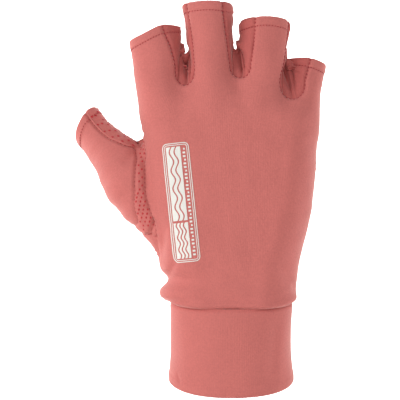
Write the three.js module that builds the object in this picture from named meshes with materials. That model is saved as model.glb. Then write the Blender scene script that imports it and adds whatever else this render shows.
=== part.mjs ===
// Fingerless fishing glove for the right hand, in the form that it has when worn.
// Millimetres. +Z runs from the cuff to the fingertips, -Y is the back of the hand, and -X is the
// thumb side. The origin is the middle of the cuff's mouth, where the hand goes in.
import * as THREE from 'three';
import { mergeVertices } from 'three/addons/utils/BufferGeometryUtils.js';

// Driving dimensions
const PALM_BREADTH = 90;        // across the knuckles
const PALM_DEPTH = 29;          // through the palm at the knuckles
const HAND_LENGTH = 112;        // wrist seam to the web beside the middle finger
const CUFF_LENGTH = 40.5;       // cuff edge to wrist seam at the sides
const CUFF_WIDTH = 61.5;
const CUFF_DEPTH = 43;
const CUFF_FLARE = 1;           // how far the folded edge stands out
const CUFF_DROP = 7.5;          // how much lower the edge lies at the back of the hand
const WRIST_DROP = 3.6;         // how much lower the wrist seam lies at the back of the hand
const CUFF_LEAN = 12;           // how far the wrist seam lies behind the mouth
const FINGER_WIDTH = 24;
const FINGER_DEPTH = 19;
const FINGER_REACH = 40;        // middle finger's end above the web
const THUMB_REACH = 62;         // thumb's end from the middle of its base
const THUMB_WIDTH = 19;
const WALL = 1.2;               // knit cloth
const HEM_WALL = 2;             // cloth turned in and doubled
const HEM_DEPTH = 5;
const CUFF_WALL = 2;            // double knit
const SEAM_GAP = 0.3;           // between neighbouring pieces
const PRINT_LENGTH = 59;
const PRINT_WIDTH = 13.2;
const PRINT_FILM = 0.4;
const PRINT_LEAN = 6;           // degrees
const CORAL = '#cb7872';
const PRINT_WHITE = '#e2e0dc';

// Heights that the pieces share
const WRIST_Z = CUFF_LENGTH;
const WEB_Z = WRIST_Z + HAND_LENGTH;

// Hand sections. up: share of the hand's length above the wrist seam. thumb_side, little_side:
// edges as shares of the palm's breadth. depth: share of the palm's depth. middle: centre in y as
// a share of the cuff's lean. arch: how far the edges curl to the palm, share of the palm's depth.
const HAND = [
  { up: -0.05, thumb_side: 0.345, little_side: 0.352, depth: 1.30, middle: 0.74, arch: 0.00 },
  { up: 0.000, thumb_side: 0.352, little_side: 0.357, depth: 1.32, middle: 0.76, arch: 0.00 },
  { up: 0.018, thumb_side: 0.392, little_side: 0.360, depth: 1.35, middle: 0.77, arch: 0.01 },
  { up: 0.050, thumb_side: 0.396, little_side: 0.359, depth: 1.35, middle: 0.80, arch: 0.02 },
  { up: 0.094, thumb_side: 0.352, little_side: 0.365, depth: 1.32, middle: 0.84, arch: 0.03 },
  { up: 0.140, thumb_side: 0.393, little_side: 0.373, depth: 1.32, middle: 0.88, arch: 0.04 },
  { up: 0.220, thumb_side: 0.405, little_side: 0.391, depth: 1.30, middle: 0.92, arch: 0.06 },
  { up: 0.300, thumb_side: 0.425, little_side: 0.418, depth: 1.28, middle: 0.96, arch: 0.08 },
  { up: 0.400, thumb_side: 0.455, little_side: 0.445, depth: 1.22, middle: 1.00, arch: 0.10 },
  { up: 0.520, thumb_side: 0.480, little_side: 0.464, depth: 1.14, middle: 1.01, arch: 0.11 },
  { up: 0.680, thumb_side: 0.490, little_side: 0.476, depth: 1.04, middle: 0.99, arch: 0.12 },
  { up: 0.820, thumb_side: 0.492, little_side: 0.482, depth: 0.98, middle: 0.94, arch: 0.13 },
  { up: 0.900, thumb_side: 0.500, little_side: 0.482, depth: 0.92, middle: 0.88, arch: 0.14 },
  { up: 1.000, thumb_side: 0.505, little_side: 0.482, depth: 0.84, middle: 0.78, arch: 0.14 },
];

// The web between the fingers, which slopes up from the back of the hand to the palm. across:
// share of the palm's breadth from its middle. up: its height half way through the hand, as a
// share of the hand's length above the wrist seam. slope: rise towards the palm.
const WEB = [
  { across: -0.50, up: 1.020, slope: 0.60 },
  { across: -0.25, up: 1.027, slope: 0.60 },
  { across: 0.05, up: 1.040, slope: 0.60 },
  { across: 0.32, up: 0.940, slope: 0.45 },
  { across: 0.50, up: 0.900, slope: 0.40 },
];

// Fingers from the thumb side on. Each row of a finger's sections holds reach: height above the
// web as a share of the middle finger's reach; across: centre as a share of the palm's breadth;
// back: centre in y as a share of the finger's depth; width, depth: shares of a finger's sizes;
// from, to: the angles of the back strip's two edges about the finger, 0 at the back of the hand
// and positive to the little side. palm: the same two angles for the palm strip. rim: the end's
// height, its slant across the finger and its rise to the back, in the same shares as reach.
const FINGERS = [
  {
    name: 'index',
    rim: { reach: 0.560, slant: 0.110, rise: 0.060 },
    rows: [
      { reach: -0.60, across: -0.385, back: -0.60, width: 0.80, depth: 1.10, from: -96, to: 60 },
      { reach: -0.25, across: -0.398, back: -0.57, width: 0.92, depth: 1.22, from: -96, to: 58 },
      { reach: -0.05, across: -0.406, back: -0.52, width: 0.98, depth: 1.16, from: -96, to: 56 },
      { reach: 0.15, across: -0.412, back: -0.44, width: 1.02, depth: 1.08, from: -96, to: 52 },
      { reach: 0.35, across: -0.420, back: -0.34, width: 1.06, depth: 1.03, from: -96, to: 44 },
      { reach: 0.60, across: -0.430, back: -0.18, width: 1.10, depth: 1.00, from: -96, to: 26 },
      { reach: 0.75, across: -0.438, back: -0.08, width: 1.12, depth: 1.00, from: -96, to: 18 },
    ],
    palm: { from: 126, to: 264 },
  },
  {
    name: 'middle',
    rim: { reach: 0.915, slant: 0.00, rise: 0.040 },
    rows: [
      { reach: -0.60, across: -0.105, back: -0.60, width: 0.82, depth: 1.10, from: -50, to: 60 },
      { reach: -0.25, across: -0.107, back: -0.60, width: 0.90, depth: 1.28, from: -50, to: 62 },
      { reach: -0.05, across: -0.109, back: -0.57, width: 0.94, depth: 1.20, from: -51, to: 63 },
      { reach: 0.15, across: -0.113, back: -0.52, width: 0.94, depth: 1.10, from: -53, to: 60 },
      { reach: 0.35, across: -0.117, back: -0.45, width: 0.95, depth: 1.05, from: -56, to: 54 },
      { reach: 0.60, across: -0.123, back: -0.34, width: 0.99, depth: 1.03, from: -60, to: 48 },
      { reach: 0.95, across: -0.134, back: -0.16, width: 1.05, depth: 1.03, from: -64, to: 42 },
      { reach: 1.10, across: -0.138, back: -0.08, width: 1.06, depth: 1.03, from: -66, to: 40 },
    ],
    palm: { from: 128, to: 232 },
  },
  {
    name: 'ring',
    rim: { reach: 0.690, slant: 0.005, rise: 0.075 },
    rows: [
      { reach: -0.60, across: 0.150, back: -0.60, width: 0.82, depth: 1.10, from: -40, to: 62 },
      { reach: -0.25, across: 0.155, back: -0.58, width: 0.90, depth: 1.20, from: -40, to: 60 },
      { reach: -0.05, across: 0.160, back: -0.54, width: 0.94, depth: 1.12, from: -38, to: 62 },
      { reach: 0.15, across: 0.167, back: -0.47, width: 1.00, depth: 1.05, from: -33, to: 70 },
      { reach: 0.35, across: 0.174, back: -0.37, width: 1.03, depth: 1.00, from: -30, to: 76 },
      { reach: 0.60, across: 0.184, back: -0.20, width: 1.04, depth: 0.98, from: -30, to: 76 },
      { reach: 0.85, across: 0.193, back: -0.04, width: 1.04, depth: 0.98, from: -30, to: 72 },
    ],
    palm: { from: 126, to: 232 },
  },
  {
    name: 'little',
    rim: { reach: 0.205, slant: -0.050, rise: 0.050 },
    rows: [
      { reach: -0.75, across: 0.372, back: -0.50, width: 0.70, depth: 0.95, from: -10, to: 100 },
      { reach: -0.40, across: 0.384, back: -0.42, width: 0.76, depth: 1.02, from: -8, to: 100 },
      { reach: -0.20, across: 0.395, back: -0.34, width: 0.77, depth: 0.96, from: -4, to: 100 },
      { reach: 0.00, across: 0.408, back: -0.22, width: 0.80, depth: 0.91, from: 4, to: 102 },
      { reach: 0.20, across: 0.424, back: -0.06, width: 0.83, depth: 0.88, from: 9, to: 104 },
      { reach: 0.35, across: 0.436, back: 0.06, width: 0.84, depth: 0.88, from: 12, to: 106 },
    ],
    palm: { from: 116, to: 236 },
  },
];

// The three webs' gusset strips. start: height where the back seam leaves the fingers' sides,
// bottom: its lowest point, and the same for the palm seam, all as shares of the middle finger's
// reach from the web height.
const WEBS = [
  { name: 'fourchette_index_middle', start: 0.10, bottom: -0.11, palmStart: 0.35, palmBottom: 0.165 },
  { name: 'fourchette_middle_ring', start: 0.15, bottom: -0.02, palmStart: 0.38, palmBottom: 0.22 },
  { name: 'fourchette_ring_little', start: -0.05, bottom: -0.28, palmStart: 0.10, palmBottom: -0.06 },
];
// Heights on the hand's two outer sides where the finger strips begin, in the same shares.
const OUTER_START = { thumbSide: 0.06, littleSide: -0.14 };

// Thumb sections from the heel of the hand to the end. out and up: centre as shares of the
// thumb's reach from the thumb's root; back: centre in y as a share of the reach; half: half
// width as a share of the thumb's width.
const THUMB = [
  { out: -0.280, up: -0.460, back: -0.15, half: 0.46 },
  { out: -0.120, up: -0.250, back: -0.15, half: 0.53 },
  { out: -0.015, up: -0.105, back: -0.13, half: 0.66 },
  { out: 0.065, up: 0.047, back: -0.09, half: 0.79 },
  { out: 0.122, up: 0.137, back: -0.05, half: 0.74 },
  { out: 0.186, up: 0.239, back: 0.00, half: 0.67 },
  { out: 0.272, up: 0.326, back: 0.06, half: 0.59 },
  { out: 0.391, up: 0.447, back: 0.15, half: 0.50 },
  { out: 0.493, up: 0.573, back: 0.23, half: 0.49 },
  { out: 0.560, up: 0.660, back: 0.28, half: 0.48 },
];
const THUMB_ROOT = { out: 0.505, up: 0.50 };   // shares of palm breadth and hand length
const THUMB_RIM = 0.85;                        // share of the way from the first row to the last
const THUMB_SLANT = 0.45;                      // slope of the rim across the thumb
const THUMB_BASE = { low: 5, high: 13, reach: 0.62 };   // rows of the hand, and share of its flat

// Side seams on the hand: angle of the back panel's thumb-side edge from the back direction.
const SIDE_SEAM = [
  { up: 0.00, angle: 96 },
  { up: 0.20, angle: 88 },
  { up: 0.25, angle: 74 },
  { up: 0.30, angle: 67 },
  { up: 0.35, angle: 65 },
  { up: 0.42, angle: 65.5 },
  { up: 0.50, angle: 66 },
  { up: 0.57, angle: 68 },
  { up: 0.64, angle: 79 },
  { up: 0.71, angle: 90 },
  { up: 0.78, angle: 95 },
  { up: 1.00, angle: 96 },
];
const LITTLE_SIDE_SEAM = 100;

// Small mathematics

function curve(rows, key, column) {
  // A smooth curve through the rows: cubic pieces with the mean slope of the neighbours.
  const x = rows.map(row => row[key]);
  const y = rows.map(row => row[column]);
  const slope = y.map((value, i) => {
    const a = Math.max(i - 1, 0);
    const b = Math.min(i + 1, y.length - 1);
    return (y[b] - y[a]) / (x[b] - x[a]);
  });
  return at => {
    const t = Math.min(Math.max(at, x[0]), x[x.length - 1]);
    let i = 0;
    while (i < x.length - 2 && t > x[i + 1]) i += 1;
    const h = x[i + 1] - x[i];
    const s = (t - x[i]) / h;
    const s2 = s * s;
    const s3 = s2 * s;
    return (2 * s3 - 3 * s2 + 1) * y[i] + (s3 - 2 * s2 + s) * h * slope[i]
      + (3 * s2 - 2 * s3) * y[i + 1] + (s3 - s2) * h * slope[i + 1];
  };
}

const mix = (a, b, t) => a + (b - a) * t;
const mixPoint = (a, b, t) => [mix(a[0], b[0], t), mix(a[1], b[1], t), mix(a[2], b[2], t)];
const smooth = t => t * t * (3 - 2 * t);
const share = (value, low, high) => Math.min(Math.max((value - low) / (high - low), 0), 1);
const radians = THREE.MathUtils.degToRad;

function joined(a, b, soft) {
  // Smooth union of two distance fields.
  const h = Math.max(soft - Math.abs(a - b), 0) / soft;
  return Math.min(a, b) - h * h * soft / 4;
}

const common = (a, b, soft) => -joined(-a, -b, soft);

function unit(v) {
  const length = Math.hypot(v[0], v[1], v[2]);
  return [v[0] / length, v[1] / length, v[2] / length];
}

// The hand that the glove's outside follows, as a distance field. How softly its forms join:
const SOFT = { web: 12, fingerEnd: 4, fingers: 1.2, palm: 5, thumb: 3.5 };

const hand = {};
for (const column of ['thumb_side', 'little_side', 'depth', 'middle', 'arch']) {
  hand[column] = curve(HAND, 'up', column);
}
const webUp = curve(WEB, 'across', 'up');
const webSlope = curve(WEB, 'across', 'slope');
const handUp = z => (z - WRIST_Z) / HAND_LENGTH;

function handSection(z) {
  const up = handUp(z);
  const left = -hand.thumb_side(up) * PALM_BREADTH;
  const right = hand.little_side(up) * PALM_BREADTH;
  const radius = hand.depth(up) * PALM_DEPTH / 2;
  return {
    x: (left + right) / 2,
    y: -hand.middle(up) * CUFF_LEAN,
    half: (right - left) / 2,
    radius,
    arch: hand.arch(up) * PALM_DEPTH,
  };
}

function palmField(p) {
  const s = handSection(p[2]);
  const core = s.half - s.radius;
  const dx = p[0] - s.x;
  const bend = s.arch * (dx / s.half) ** 2;
  const side = Math.hypot(Math.max(Math.abs(dx) - core, 0), p[1] - s.y - bend) - s.radius;
  const across = p[0] / PALM_BREADTH;
  const top = p[2] - WRIST_Z - webUp(across) * HAND_LENGTH - webSlope(across) * (p[1] - s.y);
  return common(side, top, SOFT.web);
}

const reachZ = reach => WEB_Z + reach * FINGER_REACH;
const fingers = FINGERS.map(finger => {
  const at = {};
  for (const column of ['across', 'back', 'width', 'depth', 'from', 'to']) {
    at[column] = curve(finger.rows, 'reach', column);
  }
  const section = z => {
    const reach = (z - WEB_Z) / FINGER_REACH;
    return {
      x: at.across(reach) * PALM_BREADTH,
      y: at.back(reach) * FINGER_DEPTH,
      half: at.width(reach) * FINGER_WIDTH / 2,
      radius: at.depth(reach) * FINGER_DEPTH / 2,
      from: at.from(reach),
      to: at.to(reach),
    };
  };
  const rimZ = angle => reachZ(finger.rim.reach + finger.rim.slant * Math.sin(radians(angle))
    + finger.rim.rise * Math.cos(radians(angle)));
  const { rows } = finger;
  return { ...finger, section, rimZ, low: reachZ(rows[0].reach), high: reachZ(rows.at(-1).reach) };
});

function fingerField(finger, p) {
  const s = finger.section(p[2]);
  const m = Math.hypot((p[0] - s.x) / s.half, (p[1] - s.y) / s.radius);
  const ends = Math.max(finger.low - p[2], p[2] - finger.high);
  return common((m - 1) * Math.min(s.half, s.radius), ends, SOFT.fingerEnd);
}

const thumbPath = THUMB.map(row => ({
  at: [
    -THUMB_ROOT.out * PALM_BREADTH - row.out * THUMB_REACH,
    row.back * THUMB_REACH,
    WRIST_Z + THUMB_ROOT.up * HAND_LENGTH + row.up * THUMB_REACH,
  ],
  half: row.half * THUMB_WIDTH,
}));

function thumbField(p) {
  let best = Infinity;
  for (let i = 0; i + 1 < thumbPath.length; i += 1) {
    const a = thumbPath[i].at;
    const b = thumbPath[i + 1].at;
    const ab = [b[0] - a[0], b[1] - a[1], b[2] - a[2]];
    const ap = [p[0] - a[0], p[1] - a[1], p[2] - a[2]];
    const along = (ap[0] * ab[0] + ap[1] * ab[1] + ap[2] * ab[2])
      / (ab[0] ** 2 + ab[1] ** 2 + ab[2] ** 2);
    const t = Math.min(Math.max(along, 0), 1);
    const distance = Math.hypot(ap[0] - t * ab[0], ap[1] - t * ab[1], ap[2] - t * ab[2])
      - mix(thumbPath[i].half, thumbPath[i + 1].half, t);
    best = Math.min(best, distance);
  }
  return best;
}

function field(p) {
  let all = fingerField(fingers[0], p);
  for (const finger of fingers.slice(1)) all = joined(all, fingerField(finger, p), SOFT.fingers);
  all = joined(all, palmField(p), SOFT.palm);
  return joined(all, thumbField(p), SOFT.thumb);
}

function gradient(p) {
  const e = 0.02;
  return unit([
    field([p[0] + e, p[1], p[2]]) - field([p[0] - e, p[1], p[2]]),
    field([p[0], p[1] + e, p[2]]) - field([p[0], p[1] - e, p[2]]),
    field([p[0], p[1], p[2] + e]) - field([p[0], p[1], p[2] - e]),
  ]);
}

const RAY_STEP = 0.25;
const RAY_REACH = 90;

function cast(from, direction) {
  // The first place where the ray from inside the hand leaves it.
  const d = unit(direction);
  const at = t => [from[0] + t * d[0], from[1] + t * d[1], from[2] + t * d[2]];
  let inside = 0;
  let outside = RAY_STEP;
  while (outside < RAY_REACH && field(at(outside)) < 0) {
    inside = outside;
    outside += RAY_STEP;
  }
  for (let i = 0; i < 24; i += 1) {
    const middle = (inside + outside) / 2;
    if (field(at(middle)) < 0) inside = middle;
    else outside = middle;
  }
  return at(outside);
}

function settle(p) {
  // Moves a point that lies near the hand's outside onto it.
  let q = p;
  for (let i = 0; i < 12; i += 1) {
    const g = gradient(q);
    const f = field(q);
    q = [q[0] - 0.8 * f * g[0], q[1] - 0.8 * f * g[1], q[2] - 0.8 * f * g[2]];
  }
  return q;
}

// Rays that the panels' grids are drawn along

function handRay(angle, across, z) {
  // angle: 0 straight back, 90 to the little side, 180 to the palm, -90 to the thumb side.
  // across: -1 to 1 along the flat middle of the section.
  const s = handSection(z);
  return {
    from: [s.x + across * (s.half - s.radius), s.y, z],
    to: [Math.sin(radians(angle)), -Math.cos(radians(angle)), 0],
  };
}

function fingerRay(finger, angle, z) {
  const s = finger.section(z);
  return { from: [s.x, s.y, z], to: [Math.sin(radians(angle)), -Math.cos(radians(angle)), 0] };
}

const shoot = ray => cast(ray.from, ray.to);
const sideSeam = curve(SIDE_SEAM, 'up', 'angle');

const ROUND = 0.2;        // share of a panel's width on each round end
const HAND_ROWS = 18;

function backRayAt(z, u) {
  // u: 0 at the thumb-side seam, 1 at the little-side seam. The two round ends of the section
  // take a fixed share of the width each, and the middle is drawn straight back.
  const left = sideSeam(handUp(z));
  if (u < ROUND) return handRay(mix(-left, 0, u / ROUND), -1, z);
  if (u > 1 - ROUND) return handRay(mix(0, LITTLE_SIDE_SEAM, (u - 1 + ROUND) / ROUND), 1, z);
  return handRay(0, mix(-1, 1, (u - ROUND) / (1 - 2 * ROUND)), z);
}

function sideRowZ(row) {
  // Height of a row of the hand on its thumb side.
  const side = unit([0, -Math.cos(radians(SIDE_SEAM[0].angle)), 1])[1];
  return mix(WRIST_Z + WRIST_DROP * side, reachZ(OUTER_START.thumbSide), row / HAND_ROWS);
}

function palmRayAt(z, u) {
  // u: 0 at the little-side seam, 1 where the palm's flat ends and 2 at the thumb-side seam.
  // Beside the thumb's root the flat ends sooner, in a round bite.
  const low = sideRowZ(THUMB_BASE.low);
  const high = sideRowZ(THUMB_BASE.high);
  const bite = Math.sin(Math.PI * share(z, low, high)) ** 0.7;
  if (u < ROUND) return handRay(mix(LITTLE_SIDE_SEAM, 180, u / ROUND), 1, z);
  if (u > 1) return handRay(mix(180, 360 - sideSeam(handUp(z)), u - 1), -1, z);
  const last = -1 + THUMB_BASE.reach * bite;
  return handRay(180, mix(1, last, (u - ROUND) / (1 - ROUND)), z);
}

// Height of the wrist seam round the hand, by the direction that the ray takes
const wristZ = direction => WRIST_Z + WRIST_DROP * direction[1];

// Grids of the panels

function handGrid(rayAt, order, seams, endColumns) {
  // The hand's back or palm: from the wrist seam to the line where the fingers and webs begin.
  // Each column ends on a finger's strip or on the round bottom of a web's seam. endColumns: how
  // many columns lie past u = 1, on the thumb-side end of the palm.
  const tops = [];
  order.forEach((k, place) => {
    for (let i = 0; i <= ACROSS; i += 1) {
      const t = i / ACROSS;
      const z = seams.startZ(k, t);
      const [a, b] = seams.edges(fingers[k], z);
      tops.push(fingerRay(fingers[k], mix(a, b, t), z));
    }
    if (place + 1 < order.length) tops.push(...seams.arc(k, order[place + 1]));
  });
  const columns = tops.length - 1;
  const points = tops.map(shoot);
  const lengths = [0];
  for (let i = 1; i <= columns; i += 1) {
    lengths.push(lengths[i - 1] + Math.hypot(points[i][0] - points[i - 1][0],
      points[i][1] - points[i - 1][1]));
  }
  const flat = columns - endColumns;
  const grid = [];
  for (let j = 0; j <= HAND_ROWS; j += 1) {
    const v = j / HAND_ROWS;
    const turn = smooth(share(v, 0.6, 1));
    grid.push(tops.map((top, i) => {
      if (j === HAND_ROWS) return points[i];
      const past = (lengths[i] - lengths[flat]) / (lengths[columns] - lengths[flat]);
      const u = i <= flat ? lengths[i] / lengths[flat] : 1 + past;
      const z = mix(wristZ(rayAt(WRIST_Z, u).to), points[i][2], v);
      const start = rayAt(z, u);
      const through = mixPoint(shoot(start), [points[i][0], points[i][1], z], turn);
      const leaning = mixPoint(start.from, [top.from[0], top.from[1], z], turn);
      const straight = [through[0], leaning[1], z];
      const from = mixPoint(leaning, straight, smooth(share(Math.abs(start.to[1]), 0.35, 0.98)));
      return cast(from, [0, 1, 2].map(axis => through[axis] - from[axis]));
    }));
  }
  return grid;
}

function fingerGrid(k, seams) {
  // One finger's back or palm strip, from its start to the finger's end.
  const finger = fingers[k];
  const [a1, b1] = seams.edges(finger, finger.high);
  const grid = [];
  for (let j = 0; j <= FINGER_ROWS[k]; j += 1) {
    const line = [];
    for (let i = 0; i <= ACROSS; i += 1) {
      const t = i / ACROSS;
      const z = mix(seams.startZ(k, t), finger.rimZ(mix(a1, b1, t)), j / FINGER_ROWS[k]);
      const [a, b] = seams.edges(finger, z);
      line.push(shoot(fingerRay(finger, mix(a, b, t), z)));
    }
    grid.push(line);
  }
  return grid;
}

const ACROSS = 6;         // columns on a finger's strip
const ARC = 4;            // columns on a web's round bottom
const FINGER_ROWS = [8, 8, 8, 5];
const FOURCHETTE_COLUMNS = 7;
const WEB_DROP = 9;       // how far under the web its rays start
const WEB_SWING = { side: 2.4, up: 1.6 };   // how strongly the rays turn sideways and up on the web
const backEdges = (finger, z) => {
  const s = finger.section(z);
  return [s.from, s.to];
};
const palmEdges = (finger, z) => {
  // On the two outer sides the palm strips meet the back strips.
  const s = finger.section(z);
  return [finger === fingers.at(-1) ? s.to : finger.palm.from,
    finger === fingers[0] ? 360 + s.from : finger.palm.to];
};

function webStart(k, key) {
  // Heights where the strip of finger k begins, at its thumb-side and little-side edges.
  const left = k === 0 ? OUTER_START.thumbSide : WEBS[k - 1][key];
  const right = k === WEBS.length ? OUTER_START.littleSide : WEBS[k][key];
  return [reachZ(left), reachZ(right)];
}

function arcRays(from, to, bottomZ, rise) {
  // Rays to the round bottom of a seam between two points on neighbouring fingers. rise: how far
  // a ray climbs on its way out, because the palm's seams lie on the sloping web.
  const rays = [];
  for (let i = 1; i < ARC; i += 1) {
    const angle = Math.PI * i / ARC;
    const t = (1 - Math.cos(angle)) / 2;
    const level = mix(from[2], to[2], t);
    const z = mix(level, bottomZ, Math.sin(angle) ** 0.8);
    const x = mix(from[0], to[0], t);
    const { y } = handSection(z);
    const depth = from[1] - y;
    rays.push({ from: [x, y, z - rise], to: [0, depth, rise] });
  }
  return rays;
}

function seamPoint(finger, angle, z) {
  return shoot(fingerRay(finger, angle, z));
}

const PALM_RISE = 8;
const backSeams = {
  edges: backEdges,
  startZ: (k, t = 0) => mix(...webStart(k, 'start'), t),
  arc: (k, next) => {
    const z = reachZ(WEBS[k].start);
    return arcRays(seamPoint(fingers[k], backEdges(fingers[k], z)[1], z),
      seamPoint(fingers[next], backEdges(fingers[next], z)[0], z), reachZ(WEBS[k].bottom), 0);
  },
};
const palmSeams = {
  edges: palmEdges,
  startZ: (k, t = 0) => mix(...webStart(k, 'palmStart').reverse(), t),
  arc: (k, next) => {
    const z = reachZ(WEBS[next].palmStart);
    return arcRays(seamPoint(fingers[k], fingers[k].palm.to, z),
      seamPoint(fingers[next], fingers[next].palm.from, z), reachZ(WEBS[next].palmBottom),
      PALM_RISE);
  },
};

// Solids

function distanceToRim(p) {
  // Roughly how far a point lies from the nearest finger's or thumb's end.
  let best = Infinity;
  for (const finger of fingers) {
    const s = finger.section(p[2]);
    if (Math.abs(p[0] - s.x) > s.half + 1) continue;
    const angle = THREE.MathUtils.radToDeg(Math.atan2(p[0] - s.x, s.y - p[1]));
    if (p[2] > finger.low) best = Math.min(best, Math.abs(finger.rimZ(angle) - p[2]));
  }
  return best;
}

const wallAt = p => (distanceToRim(p) < HEM_DEPTH ? HEM_WALL : WALL);

function sheet(patches, wall) {
  // A closed wall from grids of points on the outside: the grids' shared edges are joined, the
  // free edges are set back by half the seam gap and closed to an inner copy.
  const points = [];
  const known = new Map();
  const faces = [];
  const number = p => {
    const key = p.map(value => Math.round(value * 1000)).join();
    if (!known.has(key)) {
      known.set(key, points.length);
      points.push(p);
    }
    return known.get(key);
  };
  for (const grid of patches) {
    const ids = grid.map(line => line.map(number));
    let facing = 0;
    for (let j = 0; j + 1 < grid.length; j += 1) {
      for (let i = 0; i + 1 < grid[0].length; i += 1) {
        const [a, b, c, d] = [grid[j][i], grid[j][i + 1], grid[j + 1][i + 1], grid[j + 1][i]];
        const n = new THREE.Vector3(c[0] - a[0], c[1] - a[1], c[2] - a[2])
          .cross(new THREE.Vector3(d[0] - b[0], d[1] - b[1], d[2] - b[2]));
        facing += n.dot(new THREE.Vector3(...gradient(mixPoint(a, c, 0.5))));
      }
    }
    const flip = facing < 0;
    for (let j = 0; j + 1 < ids.length; j += 1) {
      for (let i = 0; i + 1 < ids[0].length; i += 1) {
        const quad = [ids[j][i], ids[j][i + 1], ids[j + 1][i + 1], ids[j + 1][i]];
        if (flip) quad.reverse();
        faces.push([quad[0], quad[1], quad[2]], [quad[0], quad[2], quad[3]]);
      }
    }
  }
  const solidFaces = faces.filter(f => f[0] !== f[1] && f[1] !== f[2] && f[2] !== f[0]);
  const normals = points.map(gradient);
  const used = new Map();
  for (const f of solidFaces) {
    for (let i = 0; i < 3; i += 1) used.set(`${f[i]} ${f[(i + 1) % 3]}`, [f[i], f[(i + 1) % 3]]);
  }
  const edges = [...used.values()].filter(([a, b]) => !used.has(`${b} ${a}`));
  const inward = points.map(() => new THREE.Vector3());
  for (const [a, b] of edges) {
    const along = new THREE.Vector3(...points[b]).sub(new THREE.Vector3(...points[a])).normalize();
    const side = new THREE.Vector3(...normals[a]).cross(along).normalize();
    inward[a].add(side);
    inward[b].add(side);
  }
  const outer = points.map((p, i) => {
    const side = inward[i];
    if (side.lengthSq() < 1e-6) return p;
    side.normalize().multiplyScalar(SEAM_GAP / 2);
    return [p[0] + side.x, p[1] + side.y, p[2] + side.z];
  });
  const inner = outer.map((p, i) => {
    const depth = wall(points[i]);
    return [0, 1, 2].map(axis => p[axis] - depth * normals[i][axis]);
  });
  const count = outer.length;
  const index = [];
  for (const [a, b, c] of solidFaces) index.push(a, b, c, a + count, c + count, b + count);
  for (const [a, b] of edges) index.push(b, a, a + count, b, a + count, b + count);
  const geometry = new THREE.BufferGeometry();
  geometry.setAttribute('position', new THREE.Float32BufferAttribute([...outer, ...inner].flat(), 3));
  geometry.setIndex(index);
  return mergeVertices(geometry, 1e-5);
}

const FROM_INDEX = [0, 1, 2, 3];
const FROM_LITTLE = [3, 2, 1, 0];
const PALM_END = 4;       // columns on the thumb-side end of the palm
const backHand = handGrid(backRayAt, FROM_INDEX, backSeams, 0);
const palmHand = handGrid(palmRayAt, FROM_LITTLE, palmSeams, PALM_END);
const palmFlat = palmHand[0].length - 1 - PALM_END;

function backPanel() {
  return sheet([backHand, ...FROM_INDEX.map(k => fingerGrid(k, backSeams))], wallAt);
}

function palmPanel() {
  // Beside the thumb's root the rows stop where the palm's flat ends.
  const flat = palmHand.map(line => line.slice(0, palmFlat + 1));
  const end = palmHand.map(line => line.slice(palmFlat));
  return sheet([
    flat,
    end.slice(0, THUMB_BASE.low + 1),
    end.slice(THUMB_BASE.high),
    ...FROM_LITTLE.map(k => fingerGrid(k, palmSeams)),
  ], wallAt);
}

function fourchette(k) {
  // The strip down one finger's side, over the web and up the next finger's side. Across its
  // width the rays swing from the back seam to the palm seam.
  const web = WEBS[k];
  const left = fingers[k];
  const right = fingers[k + 1];
  const startZ = reachZ(web.start);
  const palmZ = reachZ(web.palmStart);
  const side = (finger, edge, palmAngle, facing, t) => {
    const zBack = mix(startZ, finger.rimZ(backEdges(finger, finger.high)[edge]), t);
    const zPalm = mix(palmZ, finger.rimZ(palmAngle), t);
    const z = (zBack + zPalm) / 2;
    const s = finger.section(z);
    return {
      origin: [s.x, s.y, z],
      back: seamPoint(finger, backEdges(finger, zBack)[edge], zBack),
      palm: seamPoint(finger, palmAngle, zPalm),
      out: [facing, 0, 0],
    };
  };
  const stations = [];
  for (let i = FINGER_ROWS[k]; i >= 0; i -= 1) {
    stations.push(side(left, 1, left.palm.from, 1, i / FINGER_ROWS[k]));
  }
  const first = stations.at(-1);
  const last = side(right, 0, right.palm.to, -1, 0);
  const backArc = arcRays(first.back, last.back, reachZ(web.bottom), 0).map(shoot);
  const palmArc = arcRays(last.palm, first.palm, reachZ(web.palmBottom), PALM_RISE).map(shoot);
  for (let i = 1; i < ARC; i += 1) {
    const t = i / ARC;
    const origin = mixPoint(first.origin, last.origin, t);
    const lift = Math.sin(Math.PI * t);
    stations.push({
      origin: [origin[0], origin[1], origin[2] - WEB_DROP * lift],
      back: backArc[i - 1],
      palm: palmArc[ARC - 1 - i],
      out: [Math.cos(Math.PI * t), 0, WEB_SWING.up * lift],
    });
  }
  for (let i = 0; i <= FINGER_ROWS[k + 1]; i += 1) {
    stations.push(side(right, 0, right.palm.to, -1, i / FINGER_ROWS[k + 1]));
  }
  const grid = stations.map(({ origin, back, palm, out }) => {
    const line = [back];
    const toBack = unit([0, 1, 2].map(i => back[i] - origin[i]));
    const toPalm = unit([0, 1, 2].map(i => palm[i] - origin[i]));
    for (let i = 1; i < FOURCHETTE_COLUMNS; i += 1) {
      const v = i / FOURCHETTE_COLUMNS;
      const direction = [0, 1, 2].map(axis => (1 - v) ** 2 * toBack[axis]
        + WEB_SWING.side * v * (1 - v) * out[axis] + v ** 2 * toPalm[axis]);
      line.push(cast(origin, direction));
    }
    line.push(palm);
    return line;
  });
  return sheet([grid], wallAt);
}

// Thumb: columns run round its root from the crotch over the back to the heel and back through
// the palm, and rows run from the root to the end.
const THUMB_BACK = 10;    // columns of the leaf on the back of the thumb
const THUMB_TURN = { seam: 69, heel: 188 };   // degrees round the thumb's end, 90 at its back
// How far the columns near the crotch sag below a straight line and to the back of the hand, and
// over how many columns to each side this fades
const THUMB_CROTCH = { dip: 10, face: 5, columns: 10 };
const THUMB_ROWS = 12;
const STRIP_ROWS = 2;
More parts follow.
